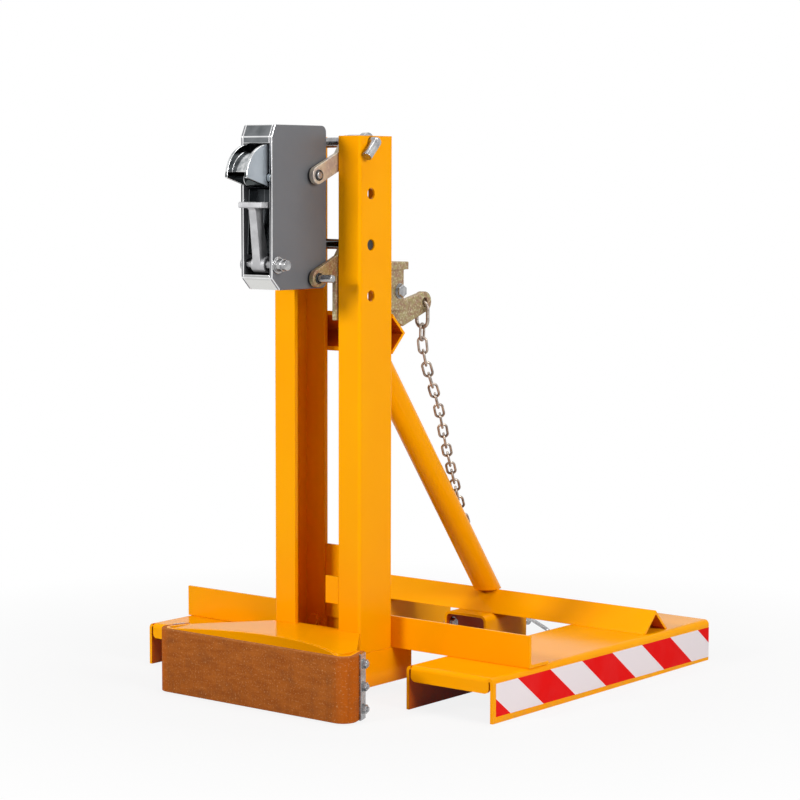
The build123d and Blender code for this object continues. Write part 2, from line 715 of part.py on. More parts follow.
def head_outline(inset):
    """The head's side view, drawn in by an inset: bevelled front corners, rounded rear ones."""
    front, rear, low, high = HEAD_FRONT, HEAD_REAR, HEAD_BOTTOM, HEAD_TOP
    outline = yz_polygon(
        (rear, low), (rear, high), (front + HEAD_TOP_BEVEL, high), (front, high - HEAD_BEVEL),
        (front, low + HEAD_BEVEL), (front + HEAD_BEVEL, low),
    )
    if inset:
        outline = offset(outline, amount=-inset, kind=Kind.INTERSECTION)
    return fillet(outline.vertices().group_by(Axis.X)[-1], HEAD_CORNER - inset)


def head_cheek():
    """The head's right cheek plate with its pin holes."""
    cheek = yz_solid(head_outline(0), CHEEK_IN_X, HEAD_X)
    pins = [
        (HEAD_PIN_Y, UPPER_HEAD_PIN_Z, HEAD_PIN_D), (HEAD_PIN_Y, LOWER_HEAD_PIN_Z, HEAD_PIN_D),
        (JAW_PIN_Y, JAW_PIN_Z, JAW_PIN_D),
    ]
    for y, z, diameter in pins:
        cheek -= rod_x(y, z, diameter / 2 + BOLT_CLEARANCE, CHEEK_IN_X - 1, HEAD_X + 1)
    seat = CHEEK_IN_X + BEAK_PIN_SEAT
    return cheek - rod_x(BEAK_PIN_Y, BEAK_PIN_Z, BEAK_PIN_D / 2 + BOLT_CLEARANCE, CHEEK_IN_X - 1, seat)


def head_shell():
    """The folded strip between the cheeks: back, top and bottom, open at the front between two lips."""
    low = HEAD_BOTTOM + HEAD_BEVEL + LOWER_LIP
    high = HEAD_TOP - HEAD_BEVEL - UPPER_LIP
    mouth = Pos(HEAD_FRONT, (low + high) / 2) * Rectangle(4 * SHELL_WALL, high - low)
    return yz_solid(head_outline(0) - head_outline(SHELL_WALL) - mouth, -CHEEK_IN_X, CHEEK_IN_X)


def beak_pin():
    """The beak's pin, seated in blind holes in the cheeks."""
    end = CHEEK_IN_X + BEAK_PIN_SEAT
    return rod_x(BEAK_PIN_Y, BEAK_PIN_Z, BEAK_PIN_D / 2, -end, end)


def jaw_pin():
    """The lower jaw's pin, with washers outside the cheeks and a collar on the right."""
    pin = rod_x(JAW_PIN_Y, JAW_PIN_Z, JAW_PIN_D / 2, -HEAD_X - 2 * JAW_WASHER, HEAD_X + JAW_PIN_END)
    pin += rod_x(JAW_PIN_Y, JAW_PIN_Z, JAW_WASHER_D / 2, HEAD_X, HEAD_X + JAW_WASHER)
    pin += rod_x(JAW_PIN_Y, JAW_PIN_Z, JAW_WASHER_D / 2, -HEAD_X - JAW_WASHER, -HEAD_X)
    collar = HEAD_X + JAW_WASHER
    return pin + rod_x(JAW_PIN_Y, JAW_PIN_Z, JAW_COLLAR_D / 2, collar, collar + JAW_COLLAR)


def beak():
    """The upper jaw: two round-nosed cheeks on a hub, joined by a curved nose plate above their chins."""
    y, z, half = BEAK_PIN_Y, BEAK_PIN_Z, BEAK_WIDTH / 2
    inner, far = half - BEAK_CHEEK, 2 * BEAK_RADIUS
    quarter = Polygon((0, 0), (-far, 0), (-far, far), (0, far), align=None)
    chin = Polygon((-BEAK_RADIUS, 0), (0, -BEAK_HUB_R), (0, 0), align=None)
    hub = Circle(BEAK_HUB_R)
    side = (Circle(BEAK_RADIUS) & quarter) + chin + hub
    above = Polygon((0, BEAK_NOSE_LIFT), (-far, BEAK_NOSE_LIFT), (-far, far), (0, far), align=None)
    nose = (Circle(BEAK_NOSE_RADIUS) - Circle(BEAK_NOSE_RADIUS - BEAK_NOSE_WALL)) & above
    cheek = yz_solid(Pos(y, z) * side, inner, half)
    jaw = cheek + mirrored(cheek) + yz_solid(Pos(y, z) * nose, -inner, inner)
    jaw += yz_solid(Pos(y, z) * hub, -inner, inner)
    return jaw - rod_x(y, z, BEAK_PIN_D / 2 + PIVOT_CLEARANCE, -HEAD_X, HEAD_X)


def lower_jaw():
    """The lower jaw: a tee on a leaning stem, with a gusset under the tee and a hub on the front pin."""
    front = FRONT_Y + JAW_TEE_BACK
    rear, low = front + JAW_TEE_DEPTH, JAW_TOP_Z - JAW_TEE_HEIGHT
    tee = block((-JAW_TEE_WIDTH / 2, JAW_TEE_WIDTH / 2), (front, rear), (low, JAW_TOP_Z))
    tee = fillet(tee.edges().filter_by(Axis.X), JAW_TEE_HEIGHT / 5)
    lean = JAW_STEM_DEPTH / 2
    stem = yz_polygon(
        (front + JAW_STEM_BACK, low + 1), (rear, low + 1),
        (JAW_PIN_Y + lean, JAW_PIN_Z), (JAW_PIN_Y - JAW_HUB_R, JAW_PIN_Z),
    )
    gusset = yz_polygon((front + lean / 4, low + 1), (rear, low + 1), (rear, low - JAW_TEE_DEPTH))
    hub_end = CHEEK_IN_X - JAW_HUB_GAP
    jaw = tee + yz_solid(stem + gusset, -JAW_STEM_WIDTH / 2, JAW_STEM_WIDTH / 2)
    jaw += rod_x(JAW_PIN_Y, JAW_PIN_Z, JAW_HUB_R, -hub_end, hub_end)
    return jaw - rod_x(JAW_PIN_Y, JAW_PIN_Z, JAW_PIN_D / 2 + PIVOT_CLEARANCE, -HEAD_X, HEAD_X)


# Chain anchor and chain

def anchor_lug():
    """The lug on the right column's back."""
    half = LUG_WALL / 2
    lug = block(
        (LUG_X - half, LUG_X + half), (COLUMN_REAR, COLUMN_REAR + LUG_REACH),
        (LUG_BOTTOM_Z, LUG_BOTTOM_Z + LUG_HEIGHT),
    )
    return lug - bolt_hole(anchor_bolt_seat(), ANCHOR_BOLT_D, STEM_WIDTH)


def anchor_bolt_seat():
    """The plane on the casting's right side that the anchor bolt's head sits on."""
    y = COLUMN_REAR + ANCHOR_BOLT_BACK
    return Plane((LUG_X + STEM_WIDTH / 2, y, ANCHOR_BOLT_Z), z_dir=(-1, 0, 0))


def chain_anchor():
    """The casting forked over the lug: a capped stem, and an arm that rises to the chain's eye."""
    front, low = COLUMN_REAR + STEM_BACK, LUG_BOTTOM_Z - STEM_FOOT
    rear, cap_z = front + STEM_DEPTH, CAP_TOP_Z - CAP_HEIGHT
    half, cap_half, arm_half = STEM_WIDTH / 2, CAP_WIDTH / 2, ARM_WALL / 2
    stem = block((LUG_X - half, LUG_X + half), (front, rear), (low, cap_z))
    gap = LUG_WALL / 2 + STEM_GAP
    slot = (LUG_BOTTOM_Z - STEM_GAP, cap_z - STEM_GAP)
    stem -= block((LUG_X - gap, LUG_X + gap), (front - 1, rear + 1), slot)
    cap = block(
        (LUG_X - cap_half, LUG_X + cap_half),
        (front - CAP_OVER_FRONT, rear + CAP_OVER_REAR), (cap_z, CAP_TOP_Z),
    )
    eye = Vector(EYE_Y, EYE_Z)
    knee = Vector(COLUMN_REAR + ARM_KNEE_BACK, ARM_KNEE_Z)
    away = (eye - knee).normalized()
    side = Vector(-away.Y, away.X) * EYE_OUTER_R
    top, bottom = eye + side, eye - side
    arm = yz_polygon(
        (front, low), (knee.X, knee.Y), (bottom.X, bottom.Y), (top.X, top.Y),
        (rear, LUG_BOTTOM_Z - STEM_GAP), (front, LUG_BOTTOM_Z - STEM_GAP),
    )
    arm = arm + Pos(EYE_Y, EYE_Z) * Circle(EYE_OUTER_R) - Pos(EYE_Y, EYE_Z) * Circle(EYE_HOLE_R)
    casting = stem + cap + yz_solid(arm, LUG_X - arm_half, LUG_X + arm_half)
    return casting - bolt_hole(anchor_bolt_seat(), ANCHOR_BOLT_D, STEM_WIDTH)


def chain_link(wire, inner_length, inner_width):
    """One link, long along Z and flat in X-Z, centred on the origin."""
    bend, thick = (inner_width + wire) / 2, wire / 2
    straight = inner_length - inner_width
    half_ring = Rot(90, 0, 0) * Torus(bend, thick, major_angle=180, align=None)
    link = Pos(0, 0, straight / 2) * half_ring
    link += Pos(0, 0, -straight / 2) * Rot(0, 180, 0) * half_ring
    for side in (bend, -bend):
        link += Pos(side, 0, 0) * Cylinder(thick, straight)
    return link


def chain_places():
    """A location for each link along the route, each a quarter turn from the last, and one for the hook.

    The first few links also twist the chain a little, and the last few twist it back.
    """
    start = Vector(LUG_X, EYE_Y, CHAIN_START_Z)
    route = Spline(*[start + Vector(*step) for step in CHAIN_ROUTE])
    places = []
    across = Vector(1, 0, 0)
    for index in range(CHAIN_LINKS + 1):
        share = index * CHAIN_STEP / route.length
        along = route.tangent_at(share)
        across = (across - along * across.dot(along)).normalized()
        plane = Plane(route.position_at(share), x_dir=across, z_dir=-along)
        from_ends = min(index + 1, CHAIN_LINKS - index)
        twist = CHAIN_TWIST * min(1, from_ends / CHAIN_TWIST_LINKS)
        places.append(plane.location * Rot(0, 0, 90 * ((index + 1) % 2) + twist))
    return places


def chain():
    """The ring in the anchor's eye with the links below it, and the place where the hook follows."""
    ring = Pos(LUG_X, EYE_Y, RING_Z) * chain_link(RING_WIRE, RING_INNER_LENGTH, RING_INNER_WIDTH)
    link = chain_link(CHAIN_WIRE, CHAIN_INNER_LENGTH, CHAIN_INNER_WIDTH)
    *places, hook_place = chain_places()
    return [ring] + [place * link for place in places], hook_place


def chain_hook(place):
    """The flat grab hook in the chain's last place: an eye, a shank and an open bend."""
    eye_z = CHAIN_STEP - CHAIN_HALF + CHAIN_WIRE / 2 + HOOK_SEAT - HOOK_EYE_R
    outer, bend = HOOK_EYE_R + HOOK_RIM, HOOK_BEND_R + HOOK_RIM
    bend_z = eye_z - outer - HOOK_SHANK
    shank = Pos(bend - HOOK_RIM / 2, (eye_z + bend_z) / 2) * Rectangle(HOOK_RIM, eye_z - bend_z)
    half = outer / 2
    neck = Polygon((0, eye_z), (bend, eye_z - outer), (bend, eye_z), (half, eye_z + half), align=None)
    curl = Pos(0, bend_z) * (Circle(bend) - Circle(HOOK_BEND_R))
    gap = Pos(0, bend_z + bend) * Rectangle(3 * bend, 2 * bend)
    face = Pos(0, eye_z) * Circle(outer) + shank + neck + (curl - gap) - Pos(0, eye_z) * Circle(HOOK_EYE_R)
    return place * extrude(Plane.XZ.offset(-HOOK_WALL / 2) * face, amount=HOOK_WALL)


def main():
    """Build every piece and write it."""
    os.makedirs("parts", exist_ok=True)
    pairs = {
        "fork_sleeve": fork_sleeve(), "column": column(), "rib": rib(), "belt_strip": belt_strip(),
        "upper_link": upper_link(), "head_cheek": head_cheek(),
    }
    for name, piece in pairs.items():
        save(f"{name}_right", piece)
        save(f"{name}_left", mirrored(piece))
    links, hook_place = chain()
    singles = {
        "lower_link_right": [tailed_link()],
        "lower_link_left": [mirrored(lower_link())],
        "front_bar": [front_bar()],
        "rear_bar": [rear_bar()],
        "brace": [brace()],
        "foot_channel": [foot_channel()],
        "foot_bolt": [bolt(foot_bolt_seat(), FOOT_BOLT_D, FOOT_WALL)],
        "upper_tie": [upper_tie()],
        "lower_tie": [lower_tie()],
        "front_tab": [front_tab()],
        "mast_bolts": [bolt(seat, MAST_BOLT_D, COLUMN_FLANGE_WALL + BAR_WALL) for seat in mast_bolt_seats()],
        "saddle_wall": [saddle_wall()],
        "saddle_top": [saddle_top()],
        "belt": [belt()],
        "belt_bolts": [bolt(seat, BELT_BOLT_D, belt_bolt_grip()) for seat in belt_bolt_seats()],
        "mast_pin": [mast_pin()],
        "lower_mast_pin": [lower_mast_pin()],
        "shaft_spacers": shaft_spacers(UPPER_SHAFT_Z) + shaft_spacers(LOWER_SHAFT_Z),
        "upper_head_pin": [head_pin(UPPER_HEAD_PIN_Z, UPPER_PIN_END)],
        "lower_head_pin": [head_pin(LOWER_HEAD_PIN_Z, LOWER_PIN_END)],
        "link_washers": link_washers(UPPER_HEAD_PIN_Z) + link_washers(LOWER_HEAD_PIN_Z),
        "head_shell": [head_shell()],
        "beak_pin": [beak_pin()],
        "jaw_pin": [jaw_pin()],
        "beak": [beak()],
        "lower_jaw": [lower_jaw()],
        "anchor_lug": [anchor_lug()],
        "chain_anchor": [chain_anchor()],
        "anchor_bolt": [bolt(anchor_bolt_seat(), ANCHOR_BOLT_D, STEM_WIDTH)],
        "chain": links,
        "chain_hook": [chain_hook(hook_place)],
    }
    for name, solids in singles.items():
        save(name, *solids)


main()
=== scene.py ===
"""Dresses the forklift drum clamp: paint, steel, belt, tape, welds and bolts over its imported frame.

Everything is in metres in the clamp's own frame: +X to its right, +Y to the truck and +Z up from
the floor.
"""

from __future__ import annotations

import json
import logging
import math
from dataclasses import dataclass
from enum import Enum
from typing import Iterable, Sequence

import bmesh
import bpy
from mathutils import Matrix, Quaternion, Vector

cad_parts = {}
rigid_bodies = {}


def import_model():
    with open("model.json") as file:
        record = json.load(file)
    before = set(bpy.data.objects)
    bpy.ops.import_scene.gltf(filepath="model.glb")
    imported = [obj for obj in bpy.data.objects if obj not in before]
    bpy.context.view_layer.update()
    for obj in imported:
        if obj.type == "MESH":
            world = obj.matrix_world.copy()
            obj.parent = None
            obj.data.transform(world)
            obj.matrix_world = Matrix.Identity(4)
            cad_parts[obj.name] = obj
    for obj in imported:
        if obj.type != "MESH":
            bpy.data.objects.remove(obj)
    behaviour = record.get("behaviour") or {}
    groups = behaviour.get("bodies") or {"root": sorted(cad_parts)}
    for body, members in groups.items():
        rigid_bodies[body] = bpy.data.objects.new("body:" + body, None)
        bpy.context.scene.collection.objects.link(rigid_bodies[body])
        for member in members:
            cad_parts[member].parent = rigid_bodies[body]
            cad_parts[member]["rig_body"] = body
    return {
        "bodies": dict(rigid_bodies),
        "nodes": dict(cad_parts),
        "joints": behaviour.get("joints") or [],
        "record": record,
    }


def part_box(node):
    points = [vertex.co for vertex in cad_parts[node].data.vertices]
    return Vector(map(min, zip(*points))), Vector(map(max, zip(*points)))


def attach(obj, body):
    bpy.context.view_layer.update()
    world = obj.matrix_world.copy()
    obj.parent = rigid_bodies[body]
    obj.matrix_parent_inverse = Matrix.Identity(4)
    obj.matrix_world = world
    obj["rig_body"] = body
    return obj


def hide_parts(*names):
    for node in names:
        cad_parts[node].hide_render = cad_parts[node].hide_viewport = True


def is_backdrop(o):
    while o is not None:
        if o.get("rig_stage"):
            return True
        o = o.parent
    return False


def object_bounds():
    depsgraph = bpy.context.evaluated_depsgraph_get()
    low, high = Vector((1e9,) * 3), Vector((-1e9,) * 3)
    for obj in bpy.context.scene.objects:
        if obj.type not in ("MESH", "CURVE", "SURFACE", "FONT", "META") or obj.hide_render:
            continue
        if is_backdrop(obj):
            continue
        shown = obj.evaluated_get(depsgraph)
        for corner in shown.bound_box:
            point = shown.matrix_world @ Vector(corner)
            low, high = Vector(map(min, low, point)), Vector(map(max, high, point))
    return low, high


LOG = logging.getLogger("drum_clamp")
MM = 0.001
Colour = tuple[float, float, float, float]


def screen(red: int, green: int, blue: int) -> Colour:
    """Turn a screen colour into the linear colour that a shader takes.

    Args:
        red: Red, 0 to 255.
        green: Green, 0 to 255.
        blue: Blue, 0 to 255.

    Returns:
        The linear colour, opaque.
    """
    def linear(channel: int) -> float:
        """Undo the screen's curve for one channel."""
        share = channel / 255
        return share / 12.92 if share <= 0.04045 else ((share + 0.055) / 1.055) ** 2.4

    return linear(red), linear(green), linear(blue), 1.0


class Side(Enum):
    """Which side of the clamp a piece is on, as the sign of X."""

    LEFT = -1
    RIGHT = 1

    def node(self, stem: str) -> str:
        """The name of this side's node."""
        return f"{stem}_{self.name.lower()}"


class Signal:
    """An output socket that takes part in Python sums, which add Math nodes."""

    def __init__(self, graph: Graph, socket: bpy.types.NodeSocket) -> None:
        """Wrap one socket of a graph's tree."""
        self.graph = graph
        self.socket = socket

    def _maths(self, operation: str, other: Signal | float = 0.0, swapped: bool = False) -> Signal:
        """Add a Math node.

        Args:
            operation: The Math node's operation.
            other: The second value.
            swapped: True where the other value comes first.

        Returns:
            The result.
        """
        pair = (other, self) if swapped else (self, other)
        return self.graph.add("ShaderNodeMath", {"operation": operation}, dict(enumerate(pair)))

    def __add__(self, other: Signal | float) -> Signal:
        """Sum."""
        return self._maths("ADD", other)

    def __sub__(self, other: Signal | float) -> Signal:
        """Difference."""
        return self._maths("SUBTRACT", other)

    def __rsub__(self, other: float) -> Signal:
        """Difference from a number."""
        return self._maths("SUBTRACT", other, swapped=True)

    def __mul__(self, other: Signal | float) -> Signal:
        """Product."""
        return self._maths("MULTIPLY", other)

    def __truediv__(self, other: Signal | float) -> Signal:
        """Quotient."""
        return self._maths("DIVIDE", other)

    def __rtruediv__(self, other: float) -> Signal:
        """Quotient of a number by this."""
        return self._maths("DIVIDE", other, swapped=True)

    def __lt__(self, other: Signal | float) -> Signal:
        """One where this is less, and zero elsewhere."""
        return self._maths("LESS_THAN", other)

    def __gt__(self, other: Signal | float) -> Signal:
        """One where this is more, and zero elsewhere."""
        return self._maths("GREATER_THAN", other)

    __radd__ = __add__
    __rmul__ = __mul__

    def fraction(self) -> Signal:
        """The part after the decimal point."""
        return self._maths("FRACT")

    def size(self) -> Signal:
        """The value without its sign."""
        return self._maths("ABSOLUTE")


class Graph:
    """A node tree that is put together by Python calls."""

    def __init__(self, tree: bpy.types.NodeTree) -> None:
        """Take over a tree."""
        self.tree = tree

    def feed(self, socket: bpy.types.NodeSocket, value: object) -> None:
        """Give an input its value, or link a signal to it.

        Args:
            socket: The input.
            value: A plain value or a signal.
        """
        if isinstance(value, Signal):
            self.tree.links.new(value.socket, socket)
        else:
            socket.default_value = value

    def add(
        self, kind: str, settings: dict[str, object] | None = None,
        sockets: dict[str | int, object] | None = None, output: str | int = 0,
    ) -> Signal:
        """Add a node.

        Args:
            kind: The node's type name.
            settings: Its settings, which are set first.
            sockets: Values or signals for its inputs, by name or place.
            output: The output that is wanted, by name or place.

        Returns:
            That output.
        """
        node = self.tree.nodes.new(kind)
        for name, value in (settings or {}).items():
            setattr(node, name, value)
        for key, value in (sockets or {}).items():
            self.feed(node.inputs[key], value)
        return Signal(self, node.outputs[output])


class Shader(Graph):
    """One material with a single Principled surface, whose patterns lie in object space."""

    def __init__(self, name: str) -> None:
        """Start an empty material.

        Args:
            name: The material's name.
        """
        self.material = bpy.data.materials.new(name)
        self.material.use_nodes = True
        super().__init__(self.material.node_tree)
        self.tree.nodes.clear()
        self.skin = self.tree.nodes.new("ShaderNodeBsdfPrincipled")
        sink = self.tree.nodes.new("ShaderNodeOutputMaterial")
        self.tree.links.new(self.skin.outputs[0], sink.inputs[0])
        self.place = self.add("ShaderNodeTexCoord", output="Object")

    def stretched(self, factors: tuple[float, float, float], place: Signal | None = None) -> Signal:
        """A place multiplied axis by axis, which stretches a pattern."""
        return self.add(
            "ShaderNodeVectorMath", {"operation": "MULTIPLY"}, {0: place or self.place, 1: factors}
        )

    def axis(self, name: str, place: Signal | None = None) -> Signal:
        """One coordinate of a place."""
        return self.add("ShaderNodeSeparateXYZ", sockets={0: place or self.place}, output=name)

    def noise(
        self, scale: float, detail: float = 2.0, place: Signal | None = None, roughness: float = 0.5
    ) -> Signal:
        """Cloudy noise, with scale in cells per metre."""
        return self.add("ShaderNodeTexNoise", sockets={
            "Vector": place or self.place, "Scale": scale, "Detail": detail, "Roughness": roughness,
        })

    def cells(self, scale: float, place: Signal | None = None) -> Signal:
        """Distance to the nearest of scattered points, with scale in cells per metre."""
        return self.add("ShaderNodeTexVoronoi", sockets={"Vector": place or self.place, "Scale": scale})

    def spread(
        self, value: Signal, low: float, high: float, first: float = 0.0, last: float = 1.0
    ) -> Signal:
        """Map a value's range from low to high onto first to last, and hold it there."""
        return self.add("ShaderNodeMapRange", sockets={0: value, 1: low, 2: high, 3: first, 4: last})

    def blend(self, share: Signal | float, first: Signal | Colour, second: Signal | Colour) -> Signal:
        """Mix two colours."""
        return self.add("ShaderNodeMix", {"data_type": "RGBA"}, {0: share, 6: first, 7: second}, 2)

    def relief(self, height: Signal, depth: float, under: Signal | None = None) -> Signal:
        """Turn a height from 0 to 1 into a bumped normal.

        Args:
            height: The height.
            depth: How deep it is, in metres.
            under: A normal to add it to.

        Returns:
            The normal.
        """
        sockets: dict[str | int, object] = {"Strength": 1.0, "Distance": depth, "Height": height}
        if under is not None:
            sockets["Normal"] = under
        return self.add("ShaderNodeBump", sockets=sockets)

    def surface(self, sockets: dict[str, object]) -> bpy.types.Material:
        """Set the surface's sockets and hand over the material.

        Args:
            sockets: Values or signals for the surface's inputs, by name.

        Returns:
            The material.
        """
        for name, value in sockets.items():
            self.feed(self.skin.inputs[name], value)
        return self.material


@dataclass(frozen=True)
class Enamel:
    """Gloss enamel sprayed over welded steel."""

    name: str = "orange_enamel"
    colour: Colour = screen(255, 171, 2)
    # The second tone of the drift: a thinner coat on the plain enamel, and painted shade in the darker
    # inside enamel.
    thin: Colour = screen(252, 163, 1)
    dust: Colour = screen(205, 150, 80)
    dust_height: float = 0.02
    dust_share: float = 0.35
    dust_per_metre: float = 60.0
    dust_band: tuple[float, float] = (0.45, 0.7)
    dust_dulls: float = 0.3
    drift_per_metre: float = 4.0
    drift_band: tuple[float, float] = (0.35, 0.65)
    smear_per_metre: float = 9.0
    smear_stretch: tuple[float, float, float] = (1.0, 1.0, 0.3)
    smear_band: tuple[float, float] = (0.3, 0.7)
    peel_per_metre: float = 240.0
    peel_depth: float = 0.00011
    roughness: tuple[float, float] = (0.10, 0.22)
    shine: float = 0.05

    def material(self) -> bpy.types.Material:
        """Paint with slight drift in its colour, orange peel, and dust close to the floor.

        Returns:
            The material.
        """
        shader = Shader(self.name)
        drift = shader.spread(shader.noise(self.drift_per_metre, 3.0), *self.drift_band)
        colour = shader.blend(drift, self.colour, self.thin)
        low = shader.spread(shader.axis("Z"), 0.0, self.dust_height, self.dust_share, 0.0)
        grime = low * shader.spread(shader.noise(self.dust_per_metre, 4.0), *self.dust_band)
        colour = shader.blend(grime, colour, self.dust)
        smears = shader.noise(self.smear_per_metre, 4.0, shader.stretched(self.smear_stretch))
        rough = shader.spread(smears, *self.smear_band, *self.roughness) + grime * self.dust_dulls
        peel = shader.noise(self.peel_per_metre, 1.0)
        return shader.surface({
            "Base Color": colour, "Roughness": rough, "Specular IOR Level": self.shine,
            "Normal": shader.relief(peel, self.peel_depth),
        })


@dataclass(frozen=True)
class Metal:
    """Bare or plated metal with a drift in colour, a grain and handling marks."""

    name: str
    colour: Colour
    second: Colour
    roughness: tuple[float, float]
    grain: tuple[float, float, float] = (1.0, 1.0, 1.0)
    grain_per_metre: float = 500.0
    grain_depth: float = 0.00004
    patch_per_metre: float = 35.0
    patch_band: tuple[float, float] = (0.38, 0.62)
    marks_per_patch: float = 2.3
    mark_share: float = 0.6
    dull_band: tuple[float, float] = (0.35, 0.65)
    metallic: float = 1.0
    fleck: Colour = (0.8, 0.8, 0.78, 1.0)
    fleck_share: float = 0.0
    fleck_per_metre: float = 380.0
    fleck_band: tuple[float, float] = (0.52, 0.68)
    foot: Colour = (0.7, 0.7, 0.68, 1.0)
    foot_span: tuple[float, float] | None = None

    def material(self) -> bpy.types.Material:
        """Metal with patches of two tints, a fine grain and, if it has them, flecks and another foot.

        Returns:
            The material.
        """
        shader = Shader(self.name)
        cloud = shader.noise(self.patch_per_metre, 4.0, roughness=0.6)
        patches = shader.spread(cloud, *self.patch_band)
        lines = shader.noise(self.grain_per_metre, 3.0, shader.stretched(self.grain))
        marks = shader.noise(self.patch_per_metre * self.marks_per_patch, 5.0)
        wear = marks * self.mark_share + lines * (1 - self.mark_share)
        # On the polished metals these patches are partly painted reflection.
        tint = shader.blend(patches, self.colour, self.second)
        if self.fleck_share:
            cloud = shader.noise(self.fleck_per_metre, 3.0)
            flecks = shader.spread(cloud, *self.fleck_band, 0.0, self.fleck_share)
            tint = shader.blend(flecks, tint, self.fleck)
        # A tint below a height: on the darkened chrome a painted reflection of the floor, on the
        # polished nose a darker lower part.
        if self.foot_span:
            below = shader.spread(shader.axis("Z"), *self.foot_span, 1.0, 0.0)
            tint = shader.blend(below, tint, self.foot)
        return shader.surface({
            "Base Color": tint,
            "Metallic": self.metallic,
            "Roughness": shader.spread(wear, *self.dull_band, *self.roughness),
            "Normal": shader.relief(lines, self.grain_depth),
        })


@dataclass(frozen=True)
class Layer:
    """A cloudy layer of one colour on the belt, whose clouds are stretched along it or up it."""

    colour: Colour
    per_metre: float
    detail: float
    stretch: tuple[float, float, float]
    roughness: float
    band: tuple[float, float]
    share: float


@dataclass(frozen=True)
class BeltWeave:
    """Brown friction belt: a rubbed surface over woven plies, which shows as streaks and specks."""

    name: str = "brown_belt"
    colour: Colour = screen(147, 76, 24)
    pale: Colour = screen(170, 95, 36)
    bend: Colour = screen(184, 90, 14)
    speck: Colour = screen(206, 150, 96)
    soot: Colour = screen(96, 58, 38)
    roughness: tuple[float, float] = (0.62, 0.82)
    dull_band: tuple[float, float] = (0.3, 0.7)
    streak_per_metre: float = 60.0
    streak_stretch: tuple[float, float, float] = (0.4, 1.5, 1.0)
    streak_band: tuple[float, float] = (0.36, 0.64)
    speck_per_metre: float = 340.0
    speck_band: tuple[float, float] = (0.57, 0.68)
    speck_share: float = 0.8
    speck_depth: float = 0.0002
    thread: float = 0.0016
    thread_depth: float = 0.00012
    shine: float = 0.06
    flat_half: float = 0.165
    bend_length: float = 0.02
    bend_share: float = 0.95
    top_edge: float = 0.102
    rub_height: float = 0.003
    rub_share: float = 0.2

    def layers(self) -> list[Layer]:
        """Upright soot, level rubbing and smudges, in the order in which they lie."""
        return [
            Layer(
                self.soot, per_metre=90.0, detail=4.0, stretch=(1.6, 0.12, 1.0), roughness=0.65,
                band=(0.48, 0.72), share=0.25,
            ),
            Layer(
                self.pale, per_metre=260.0, detail=3.0, stretch=(0.08, 1.0, 1.0), roughness=0.6,
                band=(0.52, 0.75), share=0.35,
            ),
            Layer(
                self.soot, per_metre=26.0, detail=5.0, stretch=(1.0, 1.0, 1.0), roughness=0.65,
                band=(0.52, 0.70), share=0.4,
            ),
        ]

    def material(self) -> bpy.types.Material:
        """Woven belt, whose own map runs along it and up it in metres.

        Returns:
            The material.
        """
        shader = Shader(self.name)
        place = shader.add("ShaderNodeUVMap", {"uv_map": "weave"})
        spot = shader.stretched(self.streak_stretch, place)
        streaks = shader.noise(self.streak_per_metre, 6.0, spot, 0.7)
        colour = shader.blend(shader.spread(streaks, *self.streak_band), self.colour, self.pale)
        along = shader.axis("X", place).size()
        bend_end = self.flat_half + self.bend_length
        ends = shader.spread(along, self.flat_half, bend_end, 0.0, self.bend_share)
        colour = shader.blend(ends, colour, self.bend)
        for layer in self.layers():
            spot = shader.stretched(layer.stretch, place)
            cloud = shader.noise(layer.per_metre, layer.detail, spot, layer.roughness)
            share = shader.spread(cloud, *layer.band, 0.0, layer.share)
            colour = shader.blend(share, colour, layer.colour)
        cloud = shader.noise(self.speck_per_metre, 4.0, place, 0.7)
        specks = shader.spread(cloud, *self.speck_band)
        colour = shader.blend(specks * self.speck_share, colour, self.speck)
        # Lighter in a thin band along the top edge.
        top_band_start = self.top_edge - self.rub_height
        top_band = shader.spread(shader.axis("Y", place), top_band_start, self.top_edge, 0.0, self.rub_share)
        colour = shader.blend(top_band, colour, self.speck)
        warp = (shader.axis("X", place) / self.thread).fraction() - 0.5
        weft = (shader.axis("Y", place) / self.thread).fraction() - 0.5
        cloth = 1 - (warp.size() + weft.size())
        return shader.surface({
            "Base Color": colour,
            "Roughness": shader.spread(streaks, *self.dull_band, *self.roughness),
            "Specular IOR Level": self.shine,
            "Normal": shader.relief(specks, self.speck_depth, shader.relief(cloth, self.thread_depth)),
        })


@dataclass(frozen=True)
class HazardTape:
    """Red and white marking tape with slanted stripes."""

    name: str = "marking_tape"
    red: Colour = screen(230, 6, 5)
    white: Colour = screen(236, 226, 228)
    faded: Colour = screen(214, 196, 196)
    fade_share: float = 0.02
    fade_per_metre: float = 30.0
    fade_band: tuple[float, float] = (0.4, 0.7)
    stripe: float = 0.0845
    slant: float = 1.34
    first_red: float = -0.155
    top: float = 0.0575
    bead_per_metre: float = 900.0
    bead_depth: float = 0.00003
    bead_band: tuple[float, float] = (0.0, 0.6)
    roughness: tuple[float, float] = (0.38, 0.5)
    shine: float = 0.06

    def material(self) -> bpy.types.Material:
        """Stripes that lean back towards the floor, on a faintly beaded film.

        Returns:
            The material.
        """
        shader = Shader(self.name)
        across = shader.axis("Y") + self.slant * (shader.axis("Z") - self.top)
        red = ((across - self.first_red) / (2 * self.stripe)).fraction() < 0.5
        colour = shader.blend(red, self.white, self.red)
        beads = shader.cells(self.bead_per_metre)
        cloud = shader.noise(self.fade_per_metre, 3.0)
        fade = shader.spread(cloud, *self.fade_band, 0.0, self.fade_share)
        return shader.surface({
            "Base Color": shader.blend(fade, colour, self.faded),
            "Roughness": shader.spread(beads, *self.bead_band, *self.roughness),
            "Specular IOR Level": self.shine,
            "Normal": shader.relief(beads, self.bead_depth),
        })


